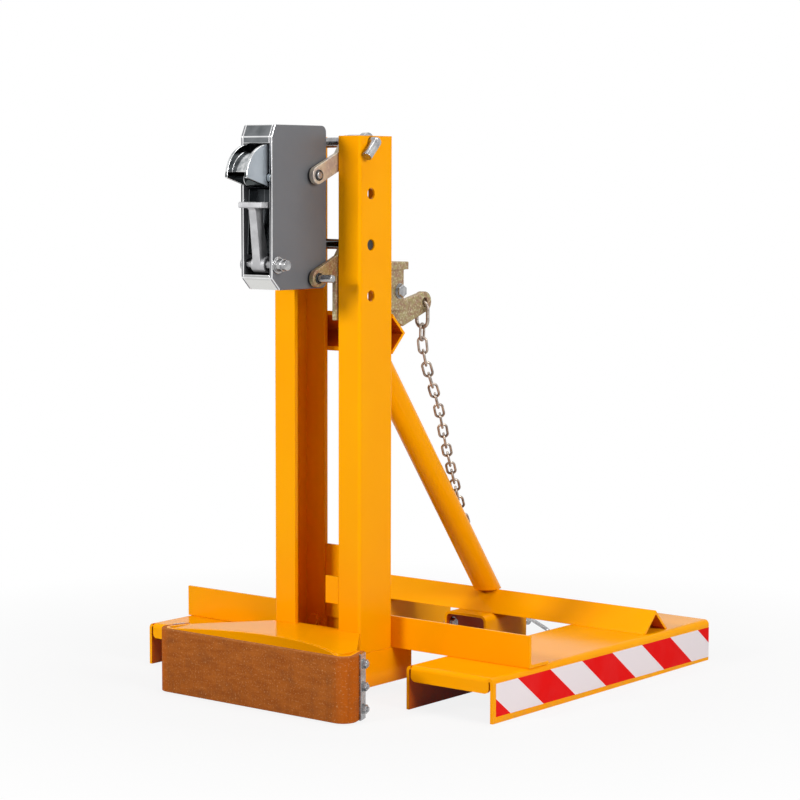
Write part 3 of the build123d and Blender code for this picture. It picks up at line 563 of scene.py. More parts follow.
class Palette:
    """Every finish, made once."""

    def __init__(self) -> None:
        """Make the materials."""
        self.enamel = Enamel().material()
        # Darker enamel for the faces that look into channels and ties: painted shade where little light
        # reaches.
        self.thin_enamel = Enamel("thin_enamel", screen(208, 92, 2), screen(188, 76, 2)).material()
        # Patches of two tints: partly the steel's own tone, partly painted reflection of its
        # surroundings.
        self.bright = Metal(
            "bright_steel", (0.50, 0.53, 0.55, 1), (0.36, 0.39, 0.40, 1), (0.08, 0.18),
            grain=(3, 3, 0.5), grain_per_metre=130, grain_depth=0.00002, patch_per_metre=26.0,
        ).material()
        # Chrome darkened to stand for the dark surroundings it would mirror, and paler below z 0.648 to
        # 0.662 for the floor it would mirror: painted reflection. Where it lines the head and the
        # beak's inner faces, its darkness is painted shade.
        self.shell = Metal(
            "dark_chrome", (0.22, 0.23, 0.24, 1), (0.11, 0.12, 0.125, 1), (0.08, 0.16),
            grain_per_metre=200, grain_depth=0.00002, patch_per_metre=20.0, foot_span=(0.648, 0.662),
        ).material()
        self.plate = Metal(
            "blue_grey_steel", (0.40, 0.44, 0.48, 1), (0.33, 0.37, 0.41, 1), (0.3, 0.42),
            grain_per_metre=200, grain_depth=0.00002, patch_per_metre=30.0, metallic=0.8,
        ).material()
        # Patches of two tints: partly the steel's own tone, partly painted reflection; darker below z
        # 0.809 to 0.812.
        self.nose = Metal(
            "polished_nose", (0.74, 0.75, 0.75, 1), (0.34, 0.36, 0.37, 1), (0.08, 0.2),
            grain_per_metre=200, grain_depth=0.00002, patch_per_metre=70.0,
            foot=(0.07, 0.08, 0.08, 1), foot_span=(0.809, 0.812),
        ).material()
        # Near-white for the front roundings of the head: painted highlight.
        self.rim = Metal(
            "worn_rim", (0.86, 0.86, 0.86, 1), (0.72, 0.72, 0.73, 1), (0.10, 0.22)
        ).material()
        self.pale = Metal(
            "pale_steel", (0.49, 0.49, 0.50, 1), (0.40, 0.40, 0.41, 1), (0.35, 0.5),
            grain_per_metre=300, patch_per_metre=60.0, metallic=0.6,
        ).material()
        self.satin = Metal(
            "satin_grey", (0.129, 0.132, 0.142, 1), (0.141, 0.144, 0.154, 1), (0.40, 0.50),
            grain=(8, 8, 0.4), grain_per_metre=120, grain_depth=0.00001, patch_per_metre=8.0,
            metallic=0.25,
        ).material()
        self.zinc = Metal(
            "bright_zinc", (0.46, 0.46, 0.46, 1), (0.28, 0.28, 0.29, 1), (0.16, 0.32),
            patch_per_metre=90.0,
        ).material()
        self.yellow = Metal(
            "yellow_zinc", (0.60, 0.53, 0.40, 1), (0.48, 0.41, 0.37, 1), (0.25, 0.45),
            grain_per_metre=420, grain_depth=0.0001, patch_per_metre=60.0, metallic=0.45,
            fleck=(0.70, 0.63, 0.52, 1), fleck_share=0.6, fleck_per_metre=160.0,
        ).material()
        self.cast = Metal(
            "cast_yellow_zinc", (0.36, 0.30, 0.14, 1), (0.30, 0.17, 0.11, 1), (0.35, 0.6),
            grain_per_metre=300, grain_depth=0.0006, patch_per_metre=130.0, metallic=0.7,
            fleck=(0.62, 0.56, 0.36, 1), fleck_share=0.75, fleck_per_metre=330.0,
        ).material()
        self.chain = Metal(
            "dull_chain", (0.50, 0.43, 0.36, 1), (0.26, 0.21, 0.18, 1), (0.25, 0.45),
            grain_per_metre=400, grain_depth=0.0001, patch_per_metre=90.0, metallic=0.85,
        ).material()
        self.black = Metal(
            "black_oxide", (0.02, 0.02, 0.022, 1), (0.035, 0.034, 0.033, 1), (0.35, 0.5),
            metallic=0.4,
        ).material()
        self.belt = BeltWeave().material()
        self.tape = HazardTape().material()


class Shop:
    """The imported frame, with the ways to dress its nodes and to add pieces to its bodies."""

    rim_heading: float = -0.2
    look_in: float = 0.002
    side_on: float = 0.99
    join_gap: float = 0.005 * MM
    flat_turn: float = math.radians(0.2)

    def __init__(self) -> None:
        """Load the frame and keep the CAD box."""
        self.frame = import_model()
        self.cad_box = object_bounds()
        self.palette = Palette()
        subparts = self.frame["record"]["subparts"]
        self.slots = {part["node"]: part["material_slot"] for part in subparts}

    def node(self, name: str) -> bpy.types.Object:
        """A CAD node's object."""
        return self.frame["nodes"][name]

    def coat(self, name: str, material: bpy.types.Material) -> None:
        """Give a CAD node a finish and leave its shape.

        Args:
            name: The CAD node.
            material: Its finish.
        """
        mesh = self.node(name).data
        mesh.materials.clear()
        mesh.materials.append(material)
        self.node(name)
        LOG.info("%s: coated with %s", name, material.name)

    def place(
        self, piece: bpy.types.Object, like: str, replaced: Sequence[str] = (), slot: str | None = None
    ) -> bpy.types.Object:
        """Let a piece ride on a node's body.

        Args:
            piece: The piece, with its place in its mesh.
            like: The CAD node whose body it takes.
            replaced: The CAD nodes that it stands for.
            slot: Not used.

        Returns:
            The piece.
        """
        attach(piece, self.node(like)["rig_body"])
        if replaced:
            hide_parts(*replaced)
        return piece

    def merged(self, name: str) -> bmesh.types.BMesh:
        """Copy a node's mesh with its triangles joined and its flat faces made whole.

        Args:
            name: The CAD node.

        Returns:
            The copy, to be freed by the caller.
        """
        shape = bmesh.new()
        shape.from_mesh(self.node(name).data)
        bmesh.ops.remove_doubles(shape, verts=shape.verts, dist=self.join_gap)
        bmesh.ops.dissolve_limit(
            shape, angle_limit=self.flat_turn, verts=shape.verts, edges=shape.edges
        )
        return shape

    def soften(
        self, name: str, material: bpy.types.Material, edge: float, steps: int = 2,
        rim: bpy.types.Material | None = None, flank: bpy.types.Material | None = None,
        inside: bpy.types.Material | None = None, sharp: float = 32.0,
    ) -> bpy.types.Object:
        """Stand a copy with rounded edges in for a node.

        Args:
            name: The CAD node.
            material: Its finish.
            edge: The width of the rounding, in metres.
            steps: How many faces each rounding has.
            rim: A brighter finish for the roundings in front: painted highlight.
            flank: Another finish for the flat sides that look outwards, left and right.
            inside: Another finish for the faces that look towards the middle of the piece, used for
                painted shade.
            sharp: The least angle of an edge that is rounded, in degrees.

        Returns:
            The new piece.
        """
        shape = self.merged(name)
        finishes = [finish for finish in (material, rim, flank, inside) if finish]
        low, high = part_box(name)
        middle = (low + high) / 2
        for face in shape.faces:
            face.smooth = True
            place = face.calc_center_median()
            if inside and face.normal.dot(middle - place) > self.look_in:
                face.material_index = finishes.index(inside)
            elif flank and abs(face.normal.x) > self.side_on and face.normal.x * place.x > 0:
                face.material_index = finishes.index(flank)
        mesh = bpy.data.meshes.new(f"{name}_worn")
        shape.to_mesh(mesh)
        shape.free()
        for finish in finishes:
            mesh.materials.append(finish)
        rough = bpy.data.objects.new(f"{name}_rough", mesh)
        bpy.context.scene.collection.objects.link(rough)
        bevel = rough.modifiers.new("edges", "BEVEL")
        bevel.width = edge
        bevel.segments = steps
        bevel.limit_method = "ANGLE"
        bevel.angle_limit = math.radians(sharp)
        bevel.use_clamp_overlap = False
        bevel.face_strength_mode = "FSTR_AFFECTED"
        shading = rough.modifiers.new("flat_faces", "WEIGHTED_NORMAL")
        shading.weight = 100
        shading.use_face_influence = True
        # The roundings take the rim finish, a painted highlight, kept only on those that face the
        # front.
        if rim:
            bevel.material = finishes.index(rim)
        piece = baked(rough, f"{name}_worn")
        if rim:
            for face in piece.data.polygons:
                if face.material_index == finishes.index(rim) and face.normal.y > self.rim_heading:
                    face.material_index = 0
        return self.place(piece, name, [name])

    def islands(self, name: str) -> list[list[Vector]]:
        """Take a node's separate solids apart.

        Args:
            name: The CAD node.

        Returns:
            Each solid's corner points.
        """
        shape = self.merged(name)
        left = set(shape.verts)
        groups = []
        while left:
            queue = [left.pop()]
            group = []
            while queue:
                corner = queue.pop()
                group.append(corner.co.copy())
                beside = {edge.other_vert(corner) for edge in corner.link_edges} & left
                left -= beside
                queue.extend(beside)
            groups.append(group)
        shape.free()
        return groups


def baked(source: bpy.types.Object, name: str) -> bpy.types.Object:
    """Turn an object with modifiers into a plain mesh object at the origin.

    Args:
        source: The object, which is removed.
        name: The new object's name.

    Returns:
        The new object.
    """
    graph = bpy.context.evaluated_depsgraph_get()
    mesh = bpy.data.meshes.new_from_object(source.evaluated_get(graph), depsgraph=graph)
    mesh.name = name
    bpy.data.objects.remove(source)
    piece = bpy.data.objects.new(name, mesh)
    bpy.context.scene.collection.objects.link(piece)
    return piece


def loft(shape: bmesh.types.BMesh, rows: Sequence[Sequence[bmesh.types.BMVert]]) -> None:
    """Skin a row of closed rings and close both ends.

    Args:
        shape: The shape that holds the rings.
        rows: Each ring's corners, all in one order.
    """
    for first, second in zip(rows, rows[1:]):
        for i, corner in enumerate(first):
            j = (i + 1) % len(first)
            shape.faces.new((corner, second[i], second[j], first[j]))
    shape.faces.new(rows[0])
    shape.faces.new(rows[-1])
    bmesh.ops.recalc_face_normals(shape, faces=shape.faces)


def mesh_object(name: str, shape: bmesh.types.BMesh, material: bpy.types.Material) -> bpy.types.Object:
    """Make an object of a built shape.

    Args:
        name: The object's name.
        shape: The shape, which is freed.
        material: Its finish.

    Returns:
        The object, at the origin.
    """
    mesh = bpy.data.meshes.new(name)
    shape.to_mesh(mesh)
    shape.free()
    mesh.materials.append(material)
    piece = bpy.data.objects.new(name, mesh)
    bpy.context.scene.collection.objects.link(piece)
    return piece


class GeometryPlan(Graph):
    """A Geometry Nodes tree with named inputs, which ends in Realize Instances and Set Material."""

    def __init__(self, name: str, sizes: dict[str, float]) -> None:
        """Start a tree.

        Args:
            name: The tree's name.
            sizes: Its named number inputs and their values.
        """
        super().__init__(bpy.data.node_groups.new(name, "GeometryNodeTree"))
        face = self.tree.interface
        face.new_socket("Geometry", in_out="INPUT", socket_type="NodeSocketGeometry")
        self.sizes = sizes
        self.sockets = {
            size: face.new_socket(size, in_out="INPUT", socket_type="NodeSocketFloat") for size in sizes
        }
        self.finish = face.new_socket("Finish", in_out="INPUT", socket_type="NodeSocketMaterial")
        face.new_socket("Geometry", in_out="OUTPUT", socket_type="NodeSocketGeometry")
        self.source = self.tree.nodes.new("NodeGroupInput")

    def given(self, name: str) -> Signal:
        """One of the tree's inputs."""
        return Signal(self, self.source.outputs[name])

    def close(self, shape: Signal, smooth: bool = False) -> None:
        """End the tree with one realized shape in the finish.

        Args:
            shape: The shape, with any instances.
            smooth: True for round shapes, False for ones with flats.
        """
        whole = self.add("GeometryNodeRealizeInstances", sockets={0: shape})
        shaded = self.add("GeometryNodeSetShadeSmooth", sockets={0: whole, "Shade Smooth": smooth})
        finish = self.given("Finish")
        coated = self.add("GeometryNodeSetMaterial", sockets={0: shaded, "Material": finish})
        sink = self.tree.nodes.new("NodeGroupOutput")
        self.feed(sink.inputs[0], coated)

    def run(self, base: bpy.types.Mesh, material: bpy.types.Material, name: str) -> bpy.types.Object:
        """Run the tree on a mesh.

        Args:
            base: The points or lines that it works on.
            material: The finish.
            name: The new piece's name.

        Returns:
            The piece, as a plain mesh.
        """
        host = bpy.data.objects.new(f"{name}_base", base)
        bpy.context.scene.collection.objects.link(host)
        modifier = host.modifiers.new(self.tree.name, "NODES")
        modifier.node_group = self.tree
        for size, value in self.sizes.items():
            modifier[self.sockets[size].identifier] = value
        modifier[self.finish.identifier] = material
        return baked(host, name)


@dataclass
class BoltSet:
    """Hexagon bolts with two washers and a nut, in the place of a node's plain ones.

    The thread and the slack are in metres, and the other sizes in thread diameters.
    """

    node: str
    thread: float
    axis: Vector
    turn_with_side: bool = False
    across_flats: float = 1.5
    chamfer: float = 0.09
    chamfer_taper: float = 0.88
    head: float = 0.42
    nut: float = 0.57
    nut_reach: float = 1.05
    washer: float = 0.14
    shank_start: float = 0.3
    tip: float = 0.06
    tip_taper: float = 0.86
    ridges: tuple[float, float, float] = (0.22, 0.17, 0.12)
    ridge_height: float = 0.03
    ridge_taper: float = 0.9
    widest_tip: float = 0.6
    washer_sides: int = 28
    shank_sides: int = 20
    end_slack: float = 0.1 * MM

    def seats(self, shop: Shop) -> tuple[bpy.types.Mesh, float]:
        """Find each bolt's head end and heading from the node's solids.

        Args:
            shop: The frame.

        Returns:
            A mesh of points at the heads with their headings, and the bolts' length.
        """
        points, headings, length = [], [], 0.0
        for corners in shop.islands(self.node):
            middle = sum(corners, Vector()) / len(corners)
            axis = self.axis.normalized()
            if self.turn_with_side:
                axis = Vector((math.copysign(1, middle.x) * axis.x, axis.y, axis.z))
            along = [(corner - middle).dot(axis) for corner in corners]
            low, high = min(along), max(along)
            length = high - low
            tip = [c for c, a in zip(corners, along) if high - a < self.end_slack]
            wide = max((c - middle - axis * (c - middle).dot(axis)).length for c in tip)
            head_first = wide < self.widest_tip * self.thread
            points.append(middle + axis * (low if head_first else high))
            headings.append(axis if head_first else -axis)
        mesh = bpy.data.meshes.new(f"{self.node}_seats")
        mesh.from_pydata(points, [], [])
        heading = mesh.attributes.new("heading", "FLOAT_VECTOR", "POINT")
        for item, value in zip(heading.data, headings):
            item.vector = value
        return mesh, length

    def build(self, shop: Shop, material: bpy.types.Material) -> bpy.types.Object:
        """Make the bolts.

        Args:
            shop: The frame.
            material: Their finish.

        Returns:
            The piece.
        """
        seats, length = self.seats(shop)
        plan = GeometryPlan(f"{self.node}_bolts", {"Thread": self.thread, "Length": length})
        thread, reach = plan.given("Thread"), plan.given("Length")
        corner = self.across_flats / 2 / math.cos(math.radians(30))
        narrow, bevel = self.chamfer_taper, thread * self.chamfer

        def stack(sides: int, radius: float, low: Signal, height: Signal, taper: float = 1.0) -> Signal:
            """Stand a prism or frustum on the bolt's axis.

            Args:
                sides: How many sides it has.
                radius: Its lower end's radius, in thread diameters.
                low: Its lower end's place.
                height: Its height.
                taper: Its upper end's radius, as a share of the lower one's.

            Returns:
                The shape.
            """
            body = plan.add("GeometryNodeMeshCone", sockets={
                "Vertices": sides, "Depth": height,
                "Radius Bottom": thread * radius, "Radius Top": thread * (radius * taper),
            })
            lift = plan.add("ShaderNodeCombineXYZ", sockets={"Z": low})
            return plan.add("GeometryNodeTransform", sockets={"Geometry": body, "Translation": lift})

        def washer(low: Signal) -> Signal:
            """A flat washer."""
            return stack(self.washer_sides, 1.0, low, thread * self.washer)

        def shank(low: Signal, height: Signal, taper: float = 1.0) -> Signal:
            """A round length of the bolt."""
            return stack(self.shank_sides, 0.5, low, height, taper)

        nut_seat = reach - thread * self.nut_reach
        nut_start = nut_seat + thread * self.washer
        pieces = [
            stack(6, corner * narrow, thread * 0.0, bevel, 1 / narrow),
            stack(6, corner, bevel, thread * self.head),
            washer(thread * (self.chamfer + self.head)),
            shank(thread * self.shank_start, reach - thread * (self.shank_start + self.tip)),
            shank(reach - thread * self.tip, thread * self.tip, self.tip_taper),
            washer(nut_seat),
            stack(6, corner, nut_start, thread * self.nut),
            stack(6, corner, nut_start + thread * self.nut, bevel, narrow),
        ]
        for ridge in self.ridges:
            pieces.append(shank(reach - thread * ridge, thread * self.ridge_height, self.ridge_taper))
        whole = plan.tree.nodes.new("GeometryNodeJoinGeometry")
        for piece in pieces:
            plan.tree.links.new(piece.socket, whole.inputs[0])
        heading = plan.add(
            "GeometryNodeInputNamedAttribute", {"data_type": "FLOAT_VECTOR"}, {"Name": "heading"}
        )
        turned = plan.add("FunctionNodeAlignRotationToVector", {"axis": "Z"}, {"Vector": heading})
        copies = plan.add("GeometryNodeInstanceOnPoints", sockets={
            "Points": plan.given("Geometry"), "Instance": Signal(plan, whole.outputs[0]),
            "Rotation": turned,
        })
        plan.close(copies)
        return shop.place(plan.run(seats, material, f"{self.node}_set"), self.node, [self.node])


@dataclass
class WeldRun:
    """Rippled weld beads along straight corners."""

    name: str
    like: str
    lines: list[tuple[Vector, Vector]]
    bead: float = 0.0024
    pitch: float = 0.0021
    uneven: tuple[float, float] = (0.85, 1.12)
    seed: int = 7

    def build(self, shop: Shop) -> bpy.types.Object:
        """Lay the beads in paint.

        Args:
            shop: The frame.

        Returns:
            The piece.
        """
        mesh = bpy.data.meshes.new(f"{self.name}_lines")
        ends = [point for line in self.lines for point in line]
        mesh.from_pydata(ends, [(2 * i, 2 * i + 1) for i in range(len(self.lines))], [])
        plan = GeometryPlan(self.name, {"Bead": self.bead, "Pitch": self.pitch})
        path = plan.add("GeometryNodeMeshToCurve", sockets={"Mesh": plan.given("Geometry")})
        pitch = plan.given("Pitch")
        even = plan.add(
            "GeometryNodeResampleCurve", {"mode": "LENGTH"}, {"Curve": path, "Length": pitch}
        )
        ripple = plan.add("GeometryNodeMeshUVSphere", sockets={
            "Segments": 8, "Rings": 5, "Radius": plan.given("Bead"),
        })
        least, most = self.uneven
        scale = plan.add(
            "FunctionNodeRandomValue", {"data_type": "FLOAT"}, {2: least, 3: most, "Seed": self.seed}, 1
        )
        copies = plan.add("GeometryNodeInstanceOnPoints", sockets={
            "Points": even, "Instance": ripple, "Scale": scale,
        })
        plan.close(copies, smooth=True)
        return shop.place(plan.run(mesh, shop.palette.enamel, self.name), self.like)


@dataclass
class ForkBase:
    """Fork sleeves with their tape, the two cross bars, the ribs and the foot channel."""

    shop: Shop
    edge: float = 0.0009
    slot_edge: float = 0.00005
    tape_low: float = 0.0075
    tape_width: float = 0.05
    tape_start: float = 0.008
    tape_film: float = 0.00015
    tape_lean: float = 0.0022
    tape_steps: int = 24
    weld_inset: float = 0.01
    ridge_inset: float = 0.004

    def build(self) -> None:
        """Dress the base."""
        enamel = self.shop.palette.enamel
        # Faces that look into the sleeves, rear bar and foot channel take the darker enamel: painted
        # shade.
        thin = self.shop.palette.thin_enamel
        for side in Side:
            self.shop.soften(side.node("fork_sleeve"), enamel, self.slot_edge, inside=thin)
            self.shop.soften(side.node("rib"), enamel, self.edge)
            self.tape(side)
        self.shop.soften("front_bar", enamel, self.edge)
        for name in ("rear_bar", "foot_channel"):
            self.shop.soften(name, enamel, self.edge, inside=thin)
        bolt = BoltSet("foot_bolt", thread=0.010, axis=Vector((1, 0, 0)))
        bolt.build(self.shop, self.shop.palette.zinc)
        WeldRun("base_welds", "rear_bar", self.weld_lines()).build(self.shop)

    def tape(self, side: Side) -> None:
        """Stick the marking tape on a sleeve's outer flange.

        Args:
            side: The sleeve's side.
        """
        low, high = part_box(side.node("fork_sleeve"))
        flange = high.x if side is Side.RIGHT else low.x
        film, width = side.value * self.tape_film, self.tape_width
        start = low.y + self.tape_start
        shape = bmesh.new()
        rows = []
        for step in range(self.tape_steps + 1):
            share = step / self.tape_steps
            y = start + (high.y - start) * share
            z = self.tape_low + self.tape_lean * (1 - 2 * share)
            corners = ((0, 0), (film, 0), (film, width), (0, width))
            rows.append([shape.verts.new((flange + depth, y, z + rise)) for depth, rise in corners])
        loft(shape, rows)
        piece = mesh_object(side.node("marking_tape"), shape, self.shop.palette.tape)
        self.shop.place(piece, side.node("fork_sleeve"))

    def weld_lines(self) -> list[tuple[Vector, Vector]]:
        """The corners where the cross bars stand on the sleeves.

        Returns:
            Each corner's two ends.
        """
        lines = []
        ridge_low, ridge_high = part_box("rear_bar")
        _, bar_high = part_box("front_bar")
        for side in Side:
            low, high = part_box(side.node("fork_sleeve"))
            left = max(low.x + self.weld_inset, ridge_low.x + self.ridge_inset)
            right = min(high.x - self.weld_inset, ridge_high.x - self.ridge_inset)
            for y in (ridge_low.y, ridge_high.y, bar_high.y):
                lines.append((Vector((left, y, high.z)), Vector((right, y, high.z))))
        return lines


@dataclass
class Mast:
    """The columns with their ties, brace, front tab and bolts."""

    shop: Shop
    edge: float = 0.0009

    def build(self) -> None:
        """Dress the mast."""
        palette = self.shop.palette
        for side in Side:
            self.shop.soften(side.node("column"), palette.enamel, self.edge)
        # The upper tie's inward faces take the darker enamel: painted shade.
        self.shop.soften("upper_tie", palette.enamel, self.edge, inside=palette.thin_enamel)
        for name in ("lower_tie", "front_tab"):
            self.shop.soften(name, palette.enamel, self.edge)
        self.shop.coat("brace", palette.enamel)
        bolts = BoltSet("mast_bolts", thread=0.012, axis=Vector((0, 1, 0)))
        bolts.build(self.shop, palette.enamel)


@dataclass
class Saddle:
    """The rolled saddle, its belt, and the strips and bolts that hold the belt."""

    shop: Shop
    edge: float = 0.0009
    end_x: float = 0.171
    end_radius: float = 0.0143
    belt_wall: float = 0.007
    return_angle: float = math.radians(20)
    return_length: float = 0.0337
    corner: float = 0.0014
    ply_groove: float = 0.0006
    strip_edge: float = 0.0006

    def build(self) -> None:
        """Dress the saddle."""
        palette = self.shop.palette
        for name in ("saddle_wall", "saddle_top"):
            self.shop.soften(name, palette.enamel, self.edge)
        for side in Side:
            self.shop.soften(side.node("belt_strip"), palette.zinc, self.strip_edge)
        heading = Vector((math.cos(self.return_angle), math.sin(self.return_angle), 0))
        bolts = BoltSet("belt_bolts", thread=0.008, axis=heading, turn_with_side=True)
        bolts.build(self.shop, palette.zinc)
        self.belt()

    def belt_line(self) -> list[tuple[Vector, Vector, float]]:
        """The belt's inner face in plan.

        Returns:
            Points from the left end to the right one, each with its outward normal and its distance
            along.
        """
        low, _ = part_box("belt")
        front = low.y + self.belt_wall
        centre = Vector((self.end_x, front + self.end_radius, 0))
        half = []
        front_steps, bend_steps, return_steps = 40, 18, 8
        for step in range(front_steps):
            x = self.end_x * step / front_steps
            half.append((Vector((x, front, 0)), Vector((0, -1, 0))))
        turn = math.pi / 2 + self.return_angle
        for step in range(bend_steps + 1):
            angle = -math.pi / 2 + turn * step / bend_steps
            normal = Vector((math.cos(angle), math.sin(angle), 0))
            half.append((centre + normal * self.end_radius, normal))
        start, normal = half[-1]
        heading = Vector((-normal.y, normal.x, 0))
        for step in range(1, return_steps + 1):
            half.append((start + heading * self.return_length * step / return_steps, normal))
        line, along = [], 0.0
        for i, (point, normal) in enumerate(half):
            along += (point - half[i - 1][0]).length if i else 0.0
            line.append((point, normal, along))
        mirrored = [(Vector((-p.x, p.y, 0)), Vector((-n.x, n.y, 0)), -a) for p, n, a in line[:0:-1]]
        return mirrored + line

    def section(self, low: float, high: float) -> list[tuple[float, float]]:
        """The belt's section: depth from its inner face, and height.

        Args:
            low: The lower edge's height.
            high: The upper edge's height.

        Returns:
            Corners round the section, with rounded edges and a groove between its plies.
        """
        wall, r, groove = self.belt_wall, self.corner, self.ply_groove
        corners = []
        steps = 3
        starts = (
            (wall - r, low + r, -90), (wall - r, high - r, 0), (r, high - r, 90), (r, low + r, 180),
        )
        for u, v, first in starts:
            for step in range(steps + 1):
                angle = math.radians(first + 90 * step / steps)
                corners.append((u + r * math.cos(angle), v + r * math.sin(angle)))
            if first in (0, 180):
                edge = high if first == 0 else low
                dip = -groove if first == 0 else groove
                middle = [(wall / 2 + groove, edge), (wall / 2, edge + dip), (wall / 2 - groove, edge)]
                corners.extend(middle if first == 0 else middle[::-1])
        return corners

    def belt(self) -> None:
        """Model the belt with its map, which runs along and up it in metres."""
        low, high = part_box("belt")
        section = self.section(low.z, high.z)
        shape = bmesh.new()
        layer = shape.loops.layers.uv.new("weave")
        rows, spots = [], {}
        for point, normal, along in self.belt_line():
            row = []
            for depth, height in section:
                corner = shape.verts.new(point + normal * depth + Vector((0, 0, height)))
                spots[corner] = (along, height)
                row.append(corner)
            rows.append(row)
        loft(shape, rows)
        for face in shape.faces:
            face.smooth = len(face.verts) == 4
            for loop in face.loops:
                loop[layer].uv = spots[loop.vert]
        piece = mesh_object("belt_woven", shape, self.shop.palette.belt)
        self.shop.place(piece, "belt", ["belt"])


@dataclass
class PinRings:
    """Round wire rings that keep the links on the head's pins."""

    pins: tuple[str, str] = ("upper_head_pin", "lower_head_pin")
    wire: float = 0.0012
    ring: float = 0.0073
    wire_steps: int = 10
    ring_steps: int = 40

    def build(self, shop: Shop) -> bpy.types.Object:
        """Spring a ring on each end of each pin, outside its link.

        Args:
            shop: The frame.

        Returns:
            The piece.
        """
        seats = []
        for name in self.pins:
            low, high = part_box(name)
            middle = (low + high) / 2
            for side in Side:
                link_low, link_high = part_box(side.node("upper_link"))
                face = link_high.x if side is Side.RIGHT else link_low.x
                seats.append((face + side.value * self.wire, middle.y, middle.z))
        mesh = bpy.data.meshes.new("pin_ring_seats")
        mesh.from_pydata(seats, [], [])
        plan = GeometryPlan("pin_rings", {"Wire": self.wire, "Ring": self.ring})
        loop, section = (
            plan.add("GeometryNodeCurvePrimitiveCircle", sockets={
                "Resolution": steps, "Radius": plan.given(size),
            })
            for size, steps in (("Ring", self.ring_steps), ("Wire", self.wire_steps))
        )
        ring = plan.add("GeometryNodeCurveToMesh", sockets={"Curve": loop, "Profile Curve": section})
        upright = plan.add("FunctionNodeAlignRotationToVector", {"axis": "Z"}, {"Vector": (1, 0, 0)})
        copies = plan.add("GeometryNodeInstanceOnPoints", sockets={
            "Points": plan.given("Geometry"), "Instance": ring, "Rotation": upright,
        })
        plan.close(copies, smooth=True)
        piece = plan.run(mesh, shop.palette.black, "pin_rings")
        return shop.place(piece, self.pins[0], slot=shop.slots["link_washers"])


@dataclass
class GripHead:
    """The gripping head with its jaws, pins and parallel links."""

    shop: Shop
    edge: float = 0.0009
    cheek_edge: float = 0.0014
    shell_edge: float = 0.0011
    fine_edge: float = 0.0007
    washer_edge: float = 0.0005
    blunt: float = 20.0
    liner_wall: float = 0.0025
    liner_gap: float = 0.0001
    liner_front: float = 0.007
    liner_lean: float = 0.004
    liner_depth: float = 0.036
    liner_low: float = 0.687
    liner_high: float = 0.785

    def build(self) -> None:
        """Dress the head."""
        palette, soften = self.shop.palette, self.shop.soften
        # The cheeks, shell and beak get the near-white rim finish on their front roundings: painted
        # highlight.
        for side in Side:
            cheek = side.node("head_cheek")
            soften(cheek, palette.satin, self.cheek_edge, 3, rim=palette.rim, sharp=self.blunt)
            soften(side.node("upper_link"), palette.yellow, self.edge)
            soften(side.node("lower_link"), palette.cast, self.edge)
        soften("head_shell", palette.shell, self.shell_edge, rim=palette.rim, sharp=self.blunt)
        # The beak's inner faces take the darkened chrome: painted shade.
        soften(
            "beak", palette.nose, self.fine_edge,
            rim=palette.rim, flank=palette.plate, inside=palette.shell,
        )
        soften("lower_jaw", palette.pale, self.edge)
        for name in ("mast_pin", "shaft_spacers", "upper_head_pin", "lower_head_pin", "jaw_pin"):
            soften(name, palette.zinc, self.fine_edge)
        soften("beak_pin", palette.bright, self.fine_edge)
        # The pin is darkened chrome with black ends, so the column holes it sits in look dark: painted
        # shade.
        soften("lower_mast_pin", palette.shell, self.fine_edge, flank=palette.black)
        soften("link_washers", palette.black, self.washer_edge)
        self.liner()
        PinRings().build(self.shop)

    def liner(self) -> None:
        """Fold the liner that stands inside the cheeks, round the lower jaw, in the darkened chrome:
        painted shade.
        """
        low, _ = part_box("head_cheek_right")
        _, shell_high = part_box("head_shell")
        outer = shell_high.x - self.liner_gap
        inner = outer - self.liner_wall
        front = low.y + self.liner_front
        rear = front + self.liner_depth
        fold = rear - self.liner_wall
        plan = [
            (outer, front), (outer, rear), (-outer, rear), (-outer, front),
            (-inner, front), (-inner, fold), (inner, fold), (inner, front),
        ]
        shape = bmesh.new()
        ends = ((self.liner_low, 0.0), (self.liner_high, self.liner_lean))
        loft(shape, [[shape.verts.new((x, y + lean, z)) for x, y in plan] for z, lean in ends])
        bmesh.ops.bevel(
            shape, geom=shape.edges[:], offset=self.fine_edge, segments=2, affect="EDGES", profile=0.5
        )
        self.shop.place(mesh_object("head_liner", shape, self.shop.palette.shell), "head_shell")


@dataclass
class SafetyChain:
    """The chain's lug, casting and bolt, the chain and its hook."""

    shop: Shop
    edge: float = 0.0009
    cast_edge: float = 0.0015

    def build(self) -> None:
        """Dress the chain set."""
        palette = self.shop.palette
        self.shop.soften("anchor_lug", palette.enamel, self.edge)
        self.shop.soften("chain_anchor", palette.cast, self.cast_edge, 3)
        bolt = BoltSet("anchor_bolt", thread=0.012, axis=Vector((1, 0, 0)))
        bolt.build(self.shop, palette.zinc)
        self.shop.coat("chain", palette.chain)
        self.shop.soften("chain_hook", palette.zinc, self.edge)


@dataclass
class Lamp:
    """One soft area lamp."""

    name: str
    place: tuple[float, float, float]
    aim: tuple[float, float, float]
    size: float
    watts: float

    def hang(self) -> None:
        """Put the lamp in the scene."""
        data = bpy.data.lights.new(self.name, "AREA")
        data.shape = "SQUARE"
        data.size = self.size
        data.energy = self.watts
        lamp = bpy.data.objects.new(self.name, data)
        lamp.location = self.place
        lamp.rotation_mode = "QUATERNION"
        lamp.rotation_quaternion = (Vector(self.aim) - Vector(self.place)).to_track_quat("-Z", "Y")
        bpy.context.scene.collection.objects.link(lamp)


